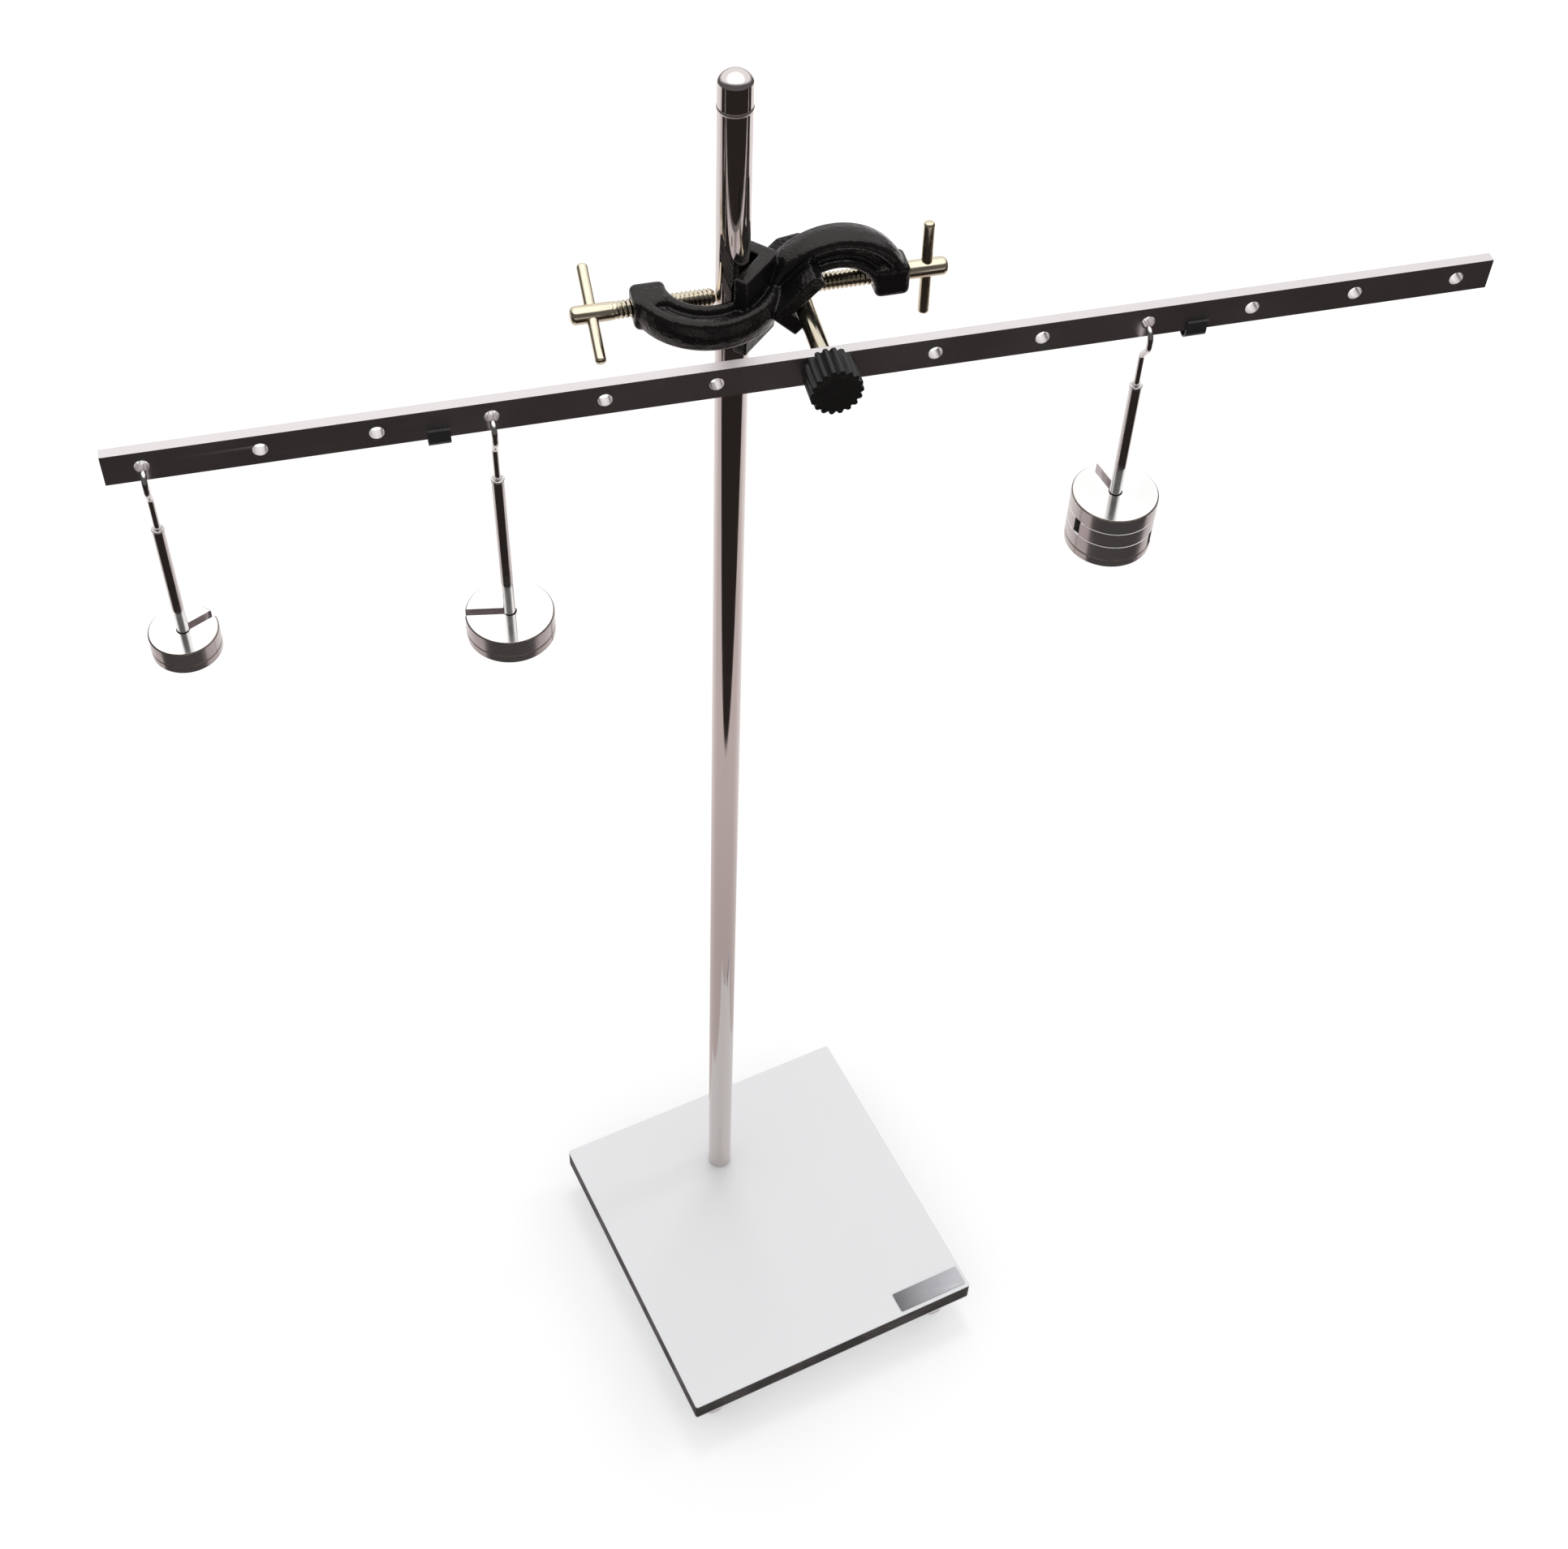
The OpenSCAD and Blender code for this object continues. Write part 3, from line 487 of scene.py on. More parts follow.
def make_chrome():
    """Bright plating, its colour darker towards the bottom of the rod: painted shade on the lower rod's
    reflections.
    """
    material, tree, shader, place = new_finish("rod_chrome_plate", metallic=1.0)
    colour = tuple(colours().chrome)
    height = add_node(tree, "SeparateXYZ", {0: place}).outputs["Z"]
    # Below these heights the colour darkens to 0.8 of itself: painted shade on the lower rod
    shade_full_below, shade_gone_above = 0.16, 0.33
    low = mapped(tree, height, (shade_full_below, shade_gone_above), (1, 0), soft=True)
    drift = place_group(tree, "Colour drift", {
        "Vector": place, "Scale": 45.0, "Colour": (*colour, 1), "Other": (*darker(colour, 0.9), 1),
        "Amount": 0.3})
    painted_low_shade = mixed(tree, low, drift.outputs["Colour"], (*darker(colour, 0.8), 1))
    tree.links.new(painted_low_shade, shader.inputs["Base Color"])
    gloss(tree, shader, place, 0.04, 0.085, 70.0)
    relief(tree, shader, [(grain(tree, place, 700.0, (1, 1, 0.04)), 0.04, 0.00003)])
    return material


def make_mass_nickel(axis):
    """Turned and plated steel; axis is the stack's upright axis."""
    name = f"mass_nickel_plate_{round(axis.x * 1000):+d}"
    material, tree, shader, place = new_finish(name, metallic=1.0, Anisotropic=0.6,
                                               Anisotropic_Rotation=0.25)
    # Near-white: a painted highlight on the faced tops, lighter than the nickel itself
    colour = tuple(colours().disc_nickel_painted_highlight)
    gloss(tree, shader, place, 0.09, 0.16, 110.0)
    rings = place_group(tree, "Turned rings", {
        "Vector": place, "Centre": (axis.x, axis.y, 0), "Density": 5200.0})
    lines = mapped(tree, rings.outputs["Height"], (0.35, 0.7), (0, 0.16))
    turned_tone = mixed(tree, lines, (*colour, 1), (*darker(colour, 0.62), 1))
    tree.links.new(turned_tone, shader.inputs["Base Color"])
    relief(tree, shader, [(rings.outputs["Height"], 0.10, 0.00002)])
    tangent = add_node(tree, "Tangent", direction_type="RADIAL", axis="Z")
    tree.links.new(tangent.outputs["Tangent"], shader.inputs["Tangent"])
    return material


def make_plate():
    """Brushed plate that goes from dark to light along its length, as a sheet does under a lamp."""
    material, tree, shader, place = new_finish("corner_plate_metal", metallic=1.0)
    colour = tuple(colours().plate)
    along = add_node(tree, "Mapping", {"Vector": place, "Rotation": (0, 0, -BASE_TURN)},
                     vector_type="POINT").outputs[0]
    sweep = mapped(tree, add_node(tree, "SeparateXYZ", {0: along}).outputs["X"], (0.024, 0.056), (0, 1))
    shade = mixed(tree, sweep, (*darker(colour, 0.3), 1), (*darker(colour, 1.25), 1))
    tree.links.new(shade, shader.inputs["Base Color"])
    gloss(tree, shader, place, 0.42, 0.5, 150.0)
    relief(tree, shader, [(grain(tree, place, 2600.0, (0.04, 1, 1)), 0.08, 0.00004)])
    return material


OWN_FINISHES = {"chrome": make_chrome, "mass nickel": make_mass_nickel, "plate": make_plate}
_made = {}


def finish(name, *details):
    """The finish of that name, made once."""
    key = (name, *[tuple(round(c, 4) for c in d) for d in details])
    if key not in _made:
        maker = OWN_FINISHES.get(name)
        _made[key] = maker(*details) if maker else make_plain(name)
    return _made[key]


def dress(node, material):
    """Gives a CAD node that stays in view its finish."""
    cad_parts[node].data.materials.clear()
    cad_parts[node].data.materials.append(material)


# Mesh helpers -------------------------------------------------------------


def new_piece(name, bm, body, material, stands_for=(), smooth=32):
    """Turns a bmesh into a piece that rides on a body, smooth up to an angle in degrees."""
    mesh = bpy.data.meshes.new(name)
    bm.normal_update()
    bm.to_mesh(mesh)
    bm.free()
    mesh.shade_smooth()
    mesh.set_sharp_from_angle(angle=math.radians(smooth))
    mesh.materials.append(material)
    piece = bpy.data.objects.new(name, mesh)
    bpy.context.scene.collection.objects.link(piece)
    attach(piece, body)
    if stands_for:
        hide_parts(*stands_for)
    return piece


def welded_copy(node):
    """A bmesh of a CAD node, with its triangles joined into one surface."""
    bm = bmesh.new()
    bm.from_mesh(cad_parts[node].data)
    bmesh.ops.remove_doubles(bm, verts=bm.verts, dist=WELD)
    return bm


def soften_edges(bm, width, steepest=30, segments=2):
    """Merges the flat faces, then rounds every edge that turns by more than an angle in degrees."""
    bmesh.ops.dissolve_limit(bm, angle_limit=math.radians(0.6), verts=bm.verts, edges=bm.edges,
                             delimit={"NORMAL"})
    limit = math.radians(steepest)
    sharp = [e for e in bm.edges if len(e.link_faces) == 2 and e.calc_face_angle(0) > limit]
    bmesh.ops.bevel(bm, geom=sharp, offset=width, offset_type="OFFSET", segments=segments,
                    profile=0.5, affect="EDGES", material=-1, clamp_overlap=True)


def softened(node, name, body, material, rounds, steepest=30, segments=2):
    """A piece that stands for a CAD node, its edges rounded by a multiple of the board's rounding."""
    bm = welded_copy(node)
    soften_edges(bm, sizes().edge_round * rounds, steepest, segments)
    return new_piece(name, bm, body, material, (node,), smooth=24)


def turned(bm, profile, steps):
    """Spins a profile of (radius, height) points round the Z axis into a closed form."""
    ends = [bm.verts.new((radius, 0, height)) for radius, height in profile]
    edges = [bm.edges.new(pair) for pair in zip(ends, ends[1:])]
    before = set(bm.verts)
    bmesh.ops.spin(bm, geom=ends + edges, cent=(0, 0, 0), axis=(0, 0, 1), angle=math.tau,
                   steps=steps, use_merge=True)
    new = [v for v in bm.verts if v not in before] + ends
    bmesh.ops.remove_doubles(bm, verts=[v for v in new if v.is_valid], dist=WELD)


def rounded(corner_radius, corner_height, radius, steps=6):
    """Points of a quarter round that ends a turned profile."""
    angles = [math.pi / 2 * i / steps for i in range(steps + 1)]
    return [(corner_radius + radius * math.cos(a), corner_height + radius * math.sin(a)) for a in angles]


def outward(bm):
    """Turns every face outwards."""
    bmesh.ops.recalc_face_normals(bm, faces=bm.faces)


# Operators ----------------------------------------------------------------


class PieceOperator:
    """Shared by the operators that make the part's pieces"""

    bl_options = {"REGISTER", "UNDO"}


class BALANCE_OT_base(PieceOperator, bpy.types.Operator):
    """Base board with its two laminate sheets and the bare plate on its corner"""

    bl_idname = "balance.base"
    bl_label = "Base Board"

    def execute(self, context):
        softened("base_core", "base_board", "stand", finish("board edge"), 1)
        softened("base_top_sheet", "base_top_laminate", "stand", finish("laminate"), 2)
        softened("base_bottom_sheet", "base_bottom_laminate", "stand",
                 finish("laminate"), 2)
        self.corner_plate()
        return {"FINISHED"}

    def corner_plate(self):
        """The bare plate, set in from the board's front-right corner."""
        length, width, thick = sizes().plate_size
        low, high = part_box("base_core")
        centre = (low + high) / 2
        turn = Matrix.Rotation(BASE_TURN, 4, "Z")
        back = turn.inverted()
        outline = [back @ (v.co - centre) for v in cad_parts["base_core"].data.vertices]
        right = max(p.x for p in outline)
        front = min(p.y for p in outline)
        inset, corner = 1.5 * MM, 0.6 * MM
        middle = Vector((right - inset - length / 2, front + inset + width / 2, 0))
        bm = bmesh.new()
        bmesh.ops.create_cube(bm, size=1.0, matrix=Matrix.Diagonal((length, width, thick, 1)))
        upright = [e for e in bm.edges if abs((e.verts[0].co - e.verts[1].co).z) > thick / 2]
        bmesh.ops.bevel(bm, geom=upright, offset=corner, offset_type="OFFSET", segments=4, profile=0.5,
                        affect="EDGES", material=-1)
        soften_edges(bm, thick * 0.3)
        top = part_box("base_top_sheet")[1].z
        place = Matrix.Translation((centre.x, centre.y, top + thick / 2)) @ turn @ Matrix.Translation(middle)
        bmesh.ops.transform(bm, matrix=place, verts=bm.verts)
        new_piece("corner_plate", bm, "stand", finish("plate"))


class BALANCE_OT_feet(PieceOperator, bpy.types.Operator):
    """Four clear feet and the fixings under the base"""

    bl_idname = "balance.feet"
    bl_label = "Feet and Fixings"

    def execute(self, context):
        for place in ("front_left", "front_right", "back_left", "back_right"):
            softened("foot_" + place, "clear_foot_" + place, "stand", finish("clear"), 3)
        for node in ("foot_screws", "rod_screw", "rod_washer"):
            dress(node, finish("zinc"))
        return {"FINISHED"}


class BALANCE_OT_stand_rod(PieceOperator, bpy.types.Operator):
    """Chromed stand rod with its domed cap"""

    bl_idname = "balance.stand_rod"
    bl_label = "Stand Rod"

    def execute(self, context):
        dress("stand_rod", finish("chrome"))
        softened("rod_cap", "domed_cap", "rod", finish("chrome"), 7,
                 steepest=20, segments=5)
        return {"FINISHED"}


class BALANCE_OT_boss_head(PieceOperator, bpy.types.Operator):
    """Cast and enamelled clamp body, its edges and corners softened as a casting's are"""

    bl_idname = "balance.boss_head"
    bl_label = "Boss Head"

    def execute(self, context):
        bm = welded_copy("boss_head")
        rough = bpy.data.meshes.new("cast_body_rough")
        bm.to_mesh(rough)
        bm.free()
        source = bpy.data.objects.new("cast_body_rough", rough)
        context.scene.collection.objects.link(source)
        cells = source.modifiers.new("cells", "REMESH")
        cells.mode = "VOXEL"
        cells.voxel_size = sizes().cast_voxel
        calm = source.modifiers.new("calm", "SMOOTH")
        calm.factor = 0.5
        calm.iterations = sizes().cast_rounds
        context.view_layer.update()
        shape = source.evaluated_get(context.evaluated_depsgraph_get())
        bm = bmesh.new()
        bm.from_mesh(shape.to_mesh())
        shape.to_mesh_clear()
        bpy.data.objects.remove(source)
        new_piece("cast_clamp_body", bm, "clamp", finish("enamel"), ("boss_head",),
                  smooth=180)
        return {"FINISHED"}


def threaded_screw(radius, total):
    """A clamp screw along +Z with its tip at the origin: a real helical thread, then a plain rounded end."""
    pitch, depth, thread = sizes().thread_pitch, sizes().thread_depth, sizes().thread_length
    root = radius - depth
    sides = 40
    turns = math.ceil(thread / pitch) + 3
    bm = bmesh.new()
    # One groove to the next, as a radius and a share of the pitch
    wave = [(root, 0.0), (root + 0.15 * depth, 0.12), (radius - 0.1 * depth, 0.42), (radius, 0.5),
            (radius - 0.1 * depth, 0.58), (root + 0.15 * depth, 0.88), (root, 1.0)]
    ends = [bm.verts.new((r, 0, (share - 1.5) * pitch)) for r, share in wave]
    edges = [bm.edges.new(pair) for pair in zip(ends, ends[1:])]
    bmesh.ops.spin(bm, geom=ends + edges, cent=(0, 0, 0), axis=(0, 0, 1), dvec=(0, 0, pitch / sides),
                   angle=math.tau * turns, steps=sides * turns, use_merge=False)
    bmesh.ops.remove_doubles(bm, verts=bm.verts, dist=WELD)
    for height, side in ((0.0, -1), (thread, 1)):
        bmesh.ops.bisect_plane(bm, geom=bm.verts[:] + bm.edges[:] + bm.faces[:], dist=WELD,
                               plane_co=(0, 0, height), plane_no=(0, 0, side), clear_outer=True)
    # The tip is turned down, and the grooves run out into the plain shank
    tip_run, tip_radius, run_out, flush = 1.1 * MM, radius - 1.0 * MM, 2.4 * MM, radius * 0.995
    for v in bm.verts:
        r = math.hypot(v.co.x, v.co.y)
        allowed = tip_radius + (radius - tip_radius) * min(1, v.co.z / tip_run)
        least = root + (flush - root) * max(0, (v.co.z - thread + run_out) / run_out)
        wanted = max(min(r, allowed), min(least, allowed))
        v.co.x *= wanted / r
        v.co.y *= wanted / r
    rims = [e for e in bm.edges if e.is_boundary]
    bmesh.ops.holes_fill(bm, edges=rims, sides=0)
    end_round, overlap, shoulder = 1.6 * MM, 0.5 * MM, 0.05 * MM
    plain = [(0, thread - overlap), (radius * 0.9, thread - overlap), (radius, thread - shoulder)]
    plain += [(radius, total - end_round)]
    plain += rounded(radius - end_round, total - end_round, end_round)[1:]
    plain += [(0, total)]
    turned(bm, plain, steps=56)
    outward(bm)
    return bm


class BALANCE_OT_clamp_screws(PieceOperator, bpy.types.Operator):
    """Threaded clamp screws and their cross bars"""

    bl_idname = "balance.clamp_screws"
    bl_label = "Clamp Screws"

    def execute(self, context):
        screws = (("rod_clamp_screw", "left_screw", -1), ("pivot_clamp_screw", "right_screw", 1))
        for node, body, side in screws:
            low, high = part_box(node)
            middle = (low + high) / 2
            tip = Vector((high.x if side < 0 else low.x, middle.y, middle.z))
            bm = threaded_screw((high.z - low.z) / 2, high.x - low.x)
            turn = Matrix.Rotation(side * math.pi / 2, 4, "Y")
            bmesh.ops.transform(bm, matrix=Matrix.Translation(tip) @ turn, verts=bm.verts)
            new_piece(node + "_threaded", bm, body, finish("screw nickel"), (node,),
                      smooth=42)
        for node in ("rod_clamp_bar", "pivot_clamp_bar"):
            dress(node, finish("screw nickel"))
        return {"FINISHED"}


class BALANCE_OT_pivot(PieceOperator, bpy.types.Operator):
    """Pivot rod with its two washers"""

    bl_idname = "balance.pivot"
    bl_label = "Pivot Rod"

    def execute(self, context):
        dress("pivot_rod", finish("screw nickel"))
        for node in ("washer_back", "washer_front"):
            dress(node, finish("zinc"))
        return {"FINISHED"}


class BALANCE_OT_knob(PieceOperator, bpy.types.Operator):
    """Ridged knob with a shallow dished front, and its brass insert"""

    bl_idname = "balance.knob"
    bl_label = "Knob"

    def execute(self, context):
        low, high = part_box("knob")
        inside = 0.2 * MM
        radius, length = (high.z - low.z) / 2 - inside, high.y - low.y
        lobes, flute, points_per_lobe, sharpness = sizes().knob_lobes, sizes().knob_flute, 10, 1.7
        bm = bmesh.new()
        points = lobes * points_per_lobe
        ring = bmesh.ops.create_circle(bm, cap_ends=True, radius=1.0, segments=points)["verts"]
        scallop = {}
        for v in ring:
            wave = math.cos(math.atan2(v.co.y, v.co.x) * lobes)
            scallop[v] = v.co * (radius - flute * (0.5 - 0.5 * wave) ** sharpness)
        bm.faces.ensure_lookup_table()
        face = bm.faces[0]
        outline = [scallop[v] for v in face.verts]
        plain = [v.co.normalized() * (radius - flute) for v in face.verts]
        # Height over the back, share of the outline, and how round the outline has become
        steps = [(0.0, 0.93, 0), (0.25 * MM, 0.97, 0), (0.7 * MM, 1.0, 0), (length - 0.3 * MM, 1.0, 0),
                 (length - 0.08 * MM, 0.99, 0), (length, 0.965, 0.1), (length - 0.06 * MM, 0.9, 0.8),
                 (length - 0.2 * MM, 0.78, 1), (length - 0.3 * MM, 0.4, 1), (length - 0.32 * MM, 0.02, 1)]
        for count, (height, share, even) in enumerate(steps):
            if count:
                made = bmesh.ops.extrude_face_region(bm, geom=[face])
                grown = [g for g in made["geom"] if isinstance(g, bmesh.types.BMFace)][0]
                bmesh.ops.delete(bm, geom=[face], context="FACES_ONLY")
                face = grown
            for v, edge, circle in zip(face.verts, outline, plain):
                flat = edge.lerp(circle, even) * share
                v.co = Vector((flat.x, flat.y, height))
        bmesh.ops.holes_fill(bm, edges=[e for e in bm.edges if e.is_boundary], sides=0)
        outward(bm)
        place = Matrix.Translation(((low.x + high.x) / 2, high.y, (low.z + high.z) / 2))
        bmesh.ops.transform(bm, matrix=place @ Matrix.Rotation(math.pi / 2, 4, "X"), verts=bm.verts)
        new_piece("ridged_knob", bm, "pivot_knob", finish("knob black"), ("knob",),
                  smooth=50)
        dress("knob_insert", finish("brass"))
        return {"FINISHED"}


class BALANCE_OT_beam(PieceOperator, bpy.types.Operator):
    """Drilled lever bar"""

    bl_idname = "balance.beam"
    bl_label = "Beam"

    def execute(self, context):
        softened("beam", "lever_bar", "balance", finish("aluminium"), 1.4)
        return {"FINISHED"}


class BALANCE_OT_riders(PieceOperator, bpy.types.Operator):
    """Two folded sheet riders"""

    bl_idname = "balance.riders"
    bl_label = "Riders"

    def execute(self, context):
        for side in ("left", "right"):
            softened("rider_" + side, side + "_rider_sheet", side + "_rider",
                     finish("rider black"), 1.2)
        return {"FINISHED"}


HANGERS = {"small": "small_hanger", "left": "left_hanger", "right": "right_hanger"}


class BALANCE_OT_hangers(PieceOperator, bpy.types.Operator):
    """Hooks and rods of the three hangers, each rod with its rolled rim"""

    bl_idname = "balance.hangers"
    bl_label = "Hangers"

    def execute(self, context):
        for side, body in HANGERS.items():
            dress(side + "_hook", finish("hanger nickel"))
            dress(side + "_rod", finish("hanger nickel"))
            self.rolled_rim(side, body)
        return {"FINISHED"}

    def rolled_rim(self, side, body):
        """A thin, slightly uneven ring round the top of a hanger's rod."""
        low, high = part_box(side + "_rod")
        centre, wire = (low + high) / 2, sizes().rim_wire
        inset, sunk = wire * 0.28, wire * 0.2
        around = (high.x - low.x) / 2 - inset
        bm = bmesh.new()
        place = Matrix.Translation((around, 0, 0)) @ Matrix.Rotation(math.pi / 2, 4, "X")
        section = bmesh.ops.create_circle(bm, cap_ends=False, radius=wire / 2, segments=12, matrix=place)
        bmesh.ops.spin(bm, geom=section["verts"] + bm.edges[:], cent=(0, 0, 0), axis=UP,
                       angle=math.tau, steps=48, use_merge=True)
        bmesh.ops.remove_doubles(bm, verts=bm.verts, dist=WELD)
        for v in bm.verts:
            a = math.atan2(v.co.y, v.co.x)
            # Two waves round the rim, the broader one at another place on each hanger
            v.co.z += wire * (0.10 * math.sin(3 * a + centre.x * 50) + 0.07 * math.sin(7 * a))
        outward(bm)
        bmesh.ops.translate(bm, vec=(centre.x, centre.y, high.z - sunk), verts=bm.verts)
        new_piece(side + "_rod_rim", bm, body, finish("hanger nickel"), smooth=180)


# Side, node and body of each disc, and those that end in a ledge below their neighbour, coloured bright as a
# painted highlight
DISCS = (
    ("small", "small_plate", "small_hanger"), ("left", "left_plate", "left_hanger"),
    ("right", "right_plate", "right_hanger"), ("small", "small_mass", "small_weight"),
    ("left", "left_mass", "left_weight"), ("right", "right_mass_lower", "lower_weight"),
    ("right", "right_mass_middle", "middle_weight"), ("right", "right_mass_upper", "upper_weight"),
)
LEDGED = ("right_mass_lower", "right_mass_middle")


class BALANCE_OT_masses(PieceOperator, bpy.types.Operator):
    """Slotted masses and the plates that carry them"""

    bl_idname = "balance.masses"
    bl_label = "Masses"

    def execute(self, context):
        for side, node, body in DISCS:
            low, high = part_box(side + "_rod")
            axis = (low + high) / 2
            material = finish("mass nickel", axis * Vector((1, 1, 0)))
            self.turned_disc(node, body, material, axis, node in LEDGED)
        return {"FINISHED"}

    def turned_disc(self, node, body, material, axis, ledged):
        """The disc with its rims' chamfers redrawn; a ledged one ends in a flatter one above, coloured
        bright as a painted highlight.
        """
        low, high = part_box(node)
        radius, wide = (high.x - low.x) / 2, DISC_CHAMFER
        rims = ((low.z, 1, LOWER_CHAMFER, LOWER_CHAMFER),
                (high.z, -1, UPPER_CHAMFER, LEDGE_DROP if ledged else UPPER_CHAMFER))
        bm = welded_copy(node)
        for v in bm.verts:
            x, y = v.co.x - axis.x, v.co.y - axis.y
            out = math.hypot(x, y)
            if out < radius - 2 * wide:
                continue
            for level, side, width, drop in rims:
                rise = (v.co.z - level) * side
                if rise < wide / 2:
                    grow = (radius - width) / (radius - wide)
                    v.co.x, v.co.y = axis.x + x * grow, axis.y + y * grow
                elif rise < wide * 1.5:
                    v.co.z = level + side * drop
        soften_edges(bm, 0.05 * MM)
        bm.normal_update()
        # By slope: tops take the near-white painted highlight, upright sides the darker painted shade,
        # chamfers the dark painted shade, ledges under a neighbour the bright painted highlight
        faced, upright = 0.97, 0.2
        for face in bm.faces:
            level = face.normal.z
            if abs(level) > faced:
                face.material_index = 0
            elif abs(level) <= upright:
                face.material_index = 1
            else:
                face.material_index = 3 if ledged and level > 0 else 2
        piece = new_piece(node + "_turned", bm, body, material, (node,), smooth=12)
        for name in ("disc side", "disc edge", "disc ledge"):
            piece.data.materials.append(finish(name))


class BALANCE_OT_studio(PieceOperator, bpy.types.Operator):
    """White floor, white surroundings, softboxes and the camera"""

    bl_idname = "balance.studio"
    bl_label = "Studio"

    def execute(self, context):
        context.scene.view_settings.view_transform = "Standard"
        self.floor()
        self.surroundings(context)
        self.lamps(context)
        self.camera(context)
        return {"FINISHED"}

    def floor(self):
        half = studio().floor_size / 2
        bm = bmesh.new()
        bmesh.ops.create_grid(bm, x_segments=1, y_segments=1, size=half)
        mesh = bpy.data.meshes.new("white_floor")
        bm.to_mesh(mesh)
        bm.free()
        mesh.materials.append(self.floor_finish())
        floor = bpy.data.objects.new("white_floor", mesh)
        bpy.context.scene.collection.objects.link(floor)

    def floor_finish(self):
        """White with the object's shadow for the camera; in gloss, a pale table, greyer in front of the rod
        as a painted shadow, before a dark room.
        """
        material = bpy.data.materials.new("floor_white")
        material.use_nodes = True
        tree = material.node_tree
        tree.nodes.clear()
        place = add_node(tree, "TexCoord").outputs["Object"]
        ray = add_node(tree, "LightPath").outputs
        seen = calculate(tree, "MAXIMUM", ray["Is Camera Ray"], ray["Is Transmission Ray"])
        away = add_node(tree, "VectorMath", {0: place}, operation="LENGTH").outputs["Value"]
        shadow_end, all_white = 0.5, 1.3
        level = mapped(tree, away, (shadow_end, all_white), (studio().floor_lift, 1), soft=True)
        lift = calculate(tree, "MULTIPLY", seen, level)
        grey = studio().floor_grey
        dull = add_node(tree, "BsdfDiffuse", {"Color": (grey, grey, grey, 1)}).outputs[0]
        glow = add_node(tree, "Emission", {"Color": (1, 1, 1, 1), "Strength": lift}).outputs[0]
        plain = add_node(tree, "AddShader", {0: dull, 1: glow}).outputs[0]
        rod = (ROD_LOW + ROD_HIGH) / 2
        from_rod = add_node(tree, "VectorMath", {0: place, 1: (rod.x, rod.y, 0)}, operation="SUBTRACT")
        ahead = add_node(tree, "VectorMath", {0: from_rod.outputs[0], 1: -AWAY},
                         operation="DOT_PRODUCT").outputs["Value"]
        aside = add_node(tree, "VectorMath", {0: from_rod.outputs[0], 1: ASIDE},
                         operation="DOT_PRODUCT").outputs["Value"]
        # In reflections the table in front of the rod is greyer than behind it: painted shadow of the object
        table_painted_shadow, far_table = (0.60, 0.53, 0.52, 1), (0.92, 0.88, 0.87, 1)
        room_dark = (0.026, 0.021, 0.019, 1)
        ramp = mapped(tree, ahead, (-0.40, 0.12), (1, 0), soft=True)
        table = mixed(tree, ramp, table_painted_shadow, far_table)
        left_bow, right_bow = 0.3, 0.85
        bow = mapped(tree, aside, (-0.05, 0.05), (left_bow, right_bow))
        square = calculate(tree, "MULTIPLY", aside, aside)
        bent = calculate(tree, "MULTIPLY_ADD", square, bow, ahead)
        edge, soft = studio().table_edge, 8 * MM
        room = mapped(tree, bent, (edge - soft, edge + soft), (0, 1), soft=True)
        tint = mixed(tree, room, table, room_dark)
        mirror = add_node(tree, "Emission", {"Color": tint, "Strength": 1.0}).outputs[0]
        both = add_node(tree, "MixShader", {0: mirrored_view(tree), 1: plain, 2: mirror}).outputs[0]
        tree.links.new(both, add_node(tree, "OutputMaterial").inputs["Surface"])
        return material

    def surroundings(self, context):
        """White for the camera; in gloss, dark with a bright screen over and behind the object."""
        world = bpy.data.worlds.new("white_surroundings")
        context.scene.world = world
        world.use_nodes = True
        tree = world.node_tree
        ray = add_node(tree, "LightPath").outputs
        mirrored = mirrored_view(tree)
        seen = calculate(tree, "MAXIMUM", ray["Is Camera Ray"], mirrored)
        seen = calculate(tree, "MAXIMUM", seen, ray["Is Transmission Ray"])
        sky = mapped(tree, seen, (0, 1), (studio().sky, 1))
        middle = (AWAY + UP * math.tan(BRIGHT_HEIGHT)).normalized()
        way = add_node(tree, "TexCoord").outputs["Generated"]
        facing = add_node(tree, "VectorMath", {0: way, 1: middle}, operation="DOT_PRODUCT").outputs["Value"]
        wide, soft, dark, overhead_gain = studio().bright_room, math.radians(7), 0.11, 1.5
        bright = mapped(tree, facing, (math.cos(wide + soft), math.cos(wide - soft)), (dark, 1), soft=True)
        height = add_node(tree, "SeparateXYZ", {0: way}).outputs["Z"]
        overhead = mapped(tree, height, (0.66, 0.80), (1, overhead_gain), soft=True)
        screen = calculate(tree, "MULTIPLY", bright, overhead)
        share = add_node(tree, "Mix", {0: mirrored, 2: 1.0, 3: screen}, data_type="FLOAT").outputs[0]
        sky = calculate(tree, "MULTIPLY", sky, share)
        background = tree.nodes["Background"]
        background.inputs["Color"].default_value = (1, 1, 1, 1)
        tree.links.new(sky, background.inputs["Strength"])

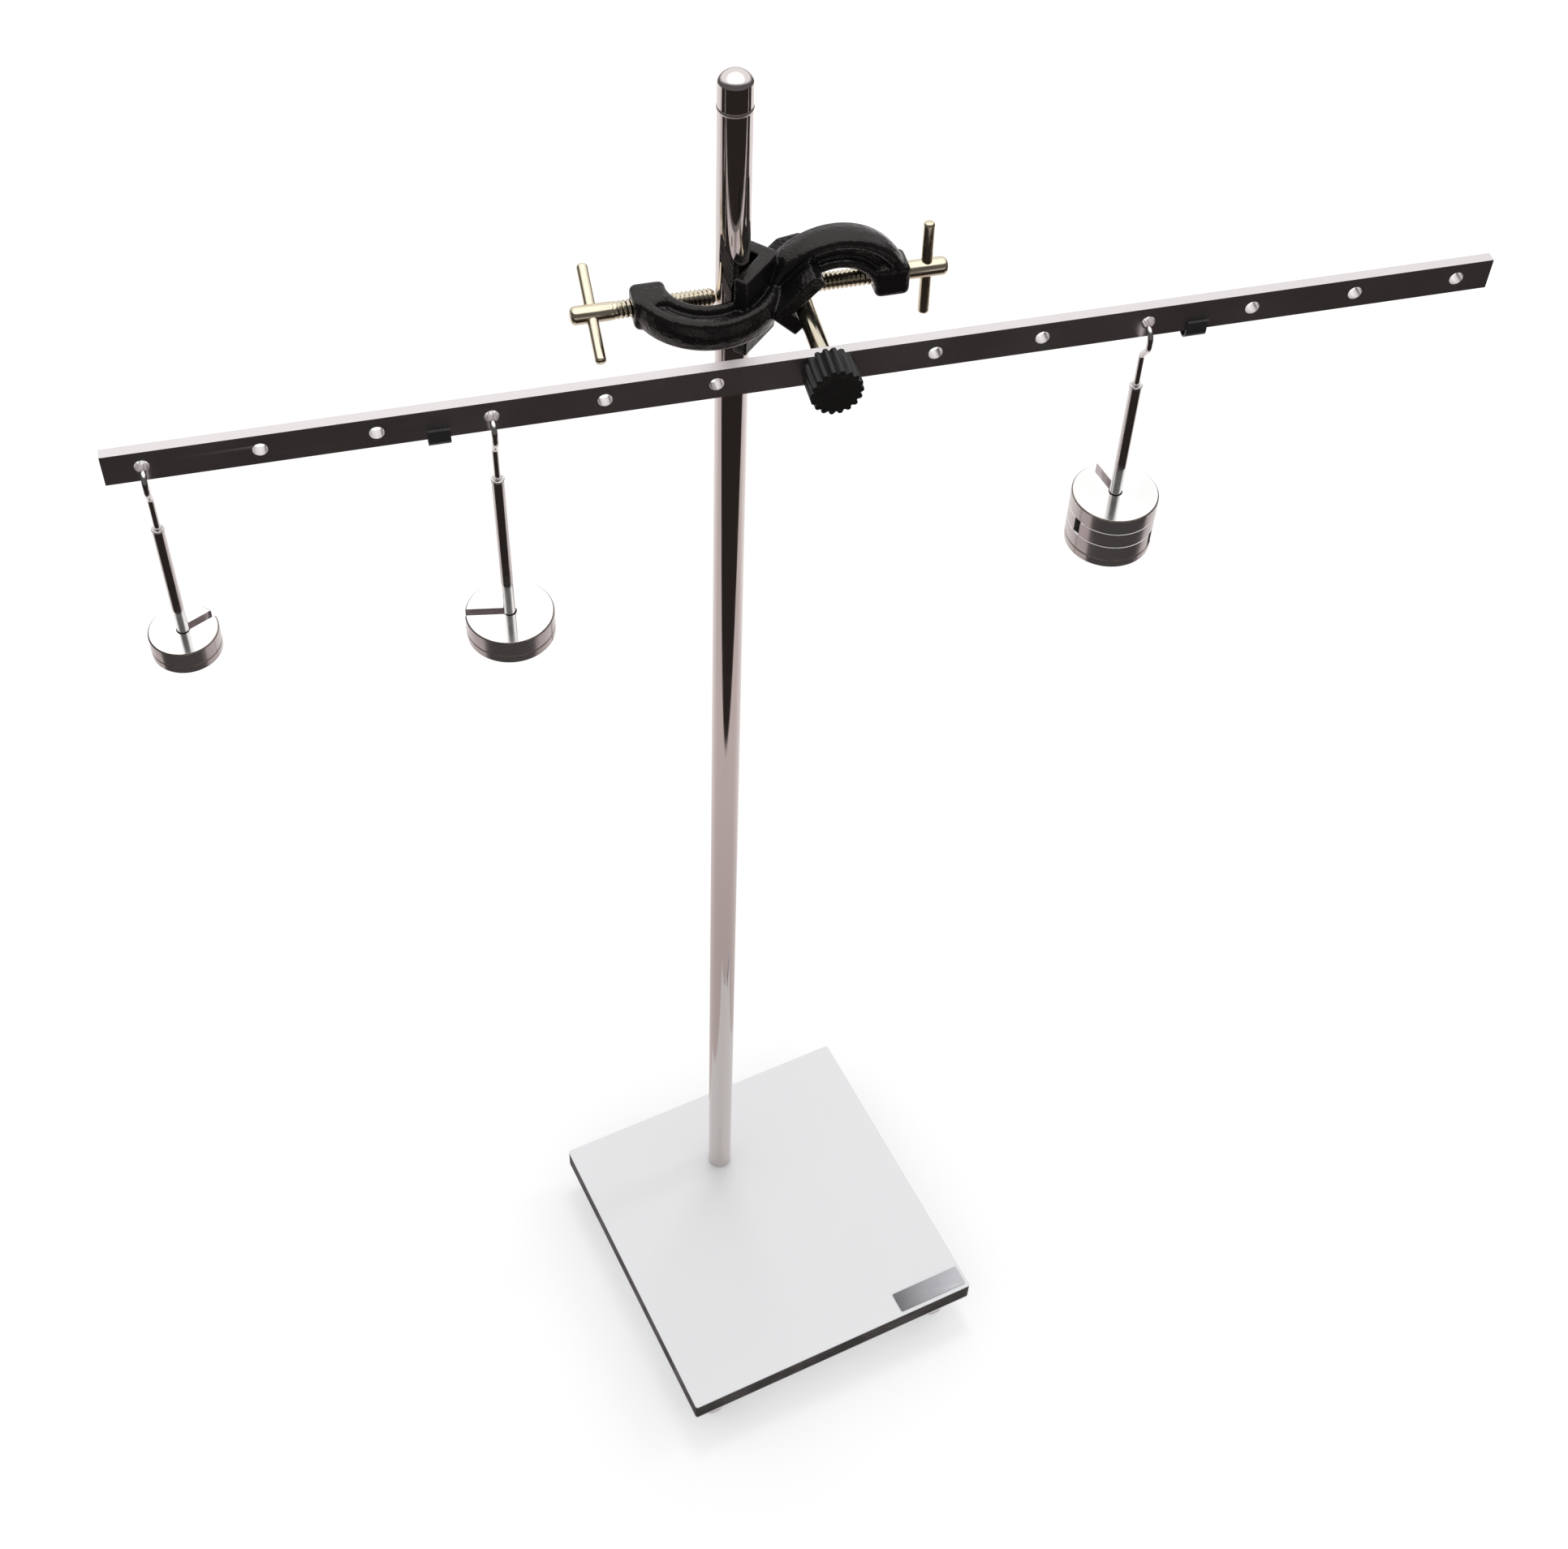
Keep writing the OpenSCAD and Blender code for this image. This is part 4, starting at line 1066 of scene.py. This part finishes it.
    def lamps(self, context):
        """Softboxes for the dull surfaces, aimed at the upper part of the object and unseen in gloss."""
        rows = [("softbox", (0.15, 0.62, 1.95), 0.55, 0.40, studio().key_power),
                ("side_strip", (1.30, 0.35, 1.30), 0.25, 0.7, studio().key_power * 0.35)]
        for name, place, wide, deep, power in rows:
            light = bpy.data.lights.new(name, "AREA")
            light.shape = "RECTANGLE"
            light.size, light.size_y = wide, deep
            light.energy = power
            lamp = bpy.data.objects.new(name, light)
            lamp.location = place
            lamp.visible_glossy = False
            aim = UP * 0.45 - Vector(place)
            lamp.rotation_euler = aim.to_track_quat("-Z", "Y").to_euler()
            context.scene.collection.objects.link(lamp)

    def camera(self, context):
        data = bpy.data.cameras.new("photo_camera")
        data.sensor_width = 36
        data.lens = studio().camera_lens
        data.shift_x, data.shift_y = studio().camera_shift
        data.clip_start, data.clip_end = 0.05, 20
        camera = bpy.data.objects.new("photo_camera", data)
        camera.location = studio().camera_place
        camera.rotation_euler = studio().camera_turn
        context.scene.collection.objects.link(camera)
        context.scene.camera = camera


class BALANCE_PT_panel(bpy.types.Panel):
    """Buttons for every group of pieces, with the sizes and colours"""

    bl_idname = "BALANCE_PT_panel"
    bl_label = "Balance Beam"
    bl_space_type = "VIEW_3D"
    bl_region_type = "UI"
    bl_category = "Balance Beam"

    def draw(self, context):
        column = self.layout.column()
        for operator in OPERATORS:
            column.operator(operator.bl_idname)
        for group in (sizes(), colours(), studio()):
            box = self.layout.box()
            for key in group.__annotations__:
                box.prop(group, key)


GROUP_CLASSES = (BeamSizes, BeamColours, BeamStudio)
OPERATORS = (
    BALANCE_OT_base, BALANCE_OT_feet, BALANCE_OT_stand_rod, BALANCE_OT_boss_head,
    BALANCE_OT_clamp_screws, BALANCE_OT_pivot, BALANCE_OT_knob, BALANCE_OT_beam, BALANCE_OT_riders,
    BALANCE_OT_hangers, BALANCE_OT_masses, BALANCE_OT_studio,
)
CLASSES = (*GROUP_CLASSES, *OPERATORS, BALANCE_PT_panel)


def register():
    for item in CLASSES:
        bpy.utils.register_class(item)
    bpy.types.Scene.beam_sizes = bpy.props.PointerProperty(type=BeamSizes)
    bpy.types.Scene.beam_colours = bpy.props.PointerProperty(type=BeamColours)
    bpy.types.Scene.beam_studio = bpy.props.PointerProperty(type=BeamStudio)


def unregister():
    del bpy.types.Scene.beam_studio
    del bpy.types.Scene.beam_colours
    del bpy.types.Scene.beam_sizes
    for item in reversed(CLASSES):
        bpy.utils.unregister_class(item)


def main():
    register()
    for operator in OPERATORS:
        group, name = operator.bl_idname.split(".")
        getattr(getattr(bpy.ops, group), name)()


if __name__ == "__main__":
    main()
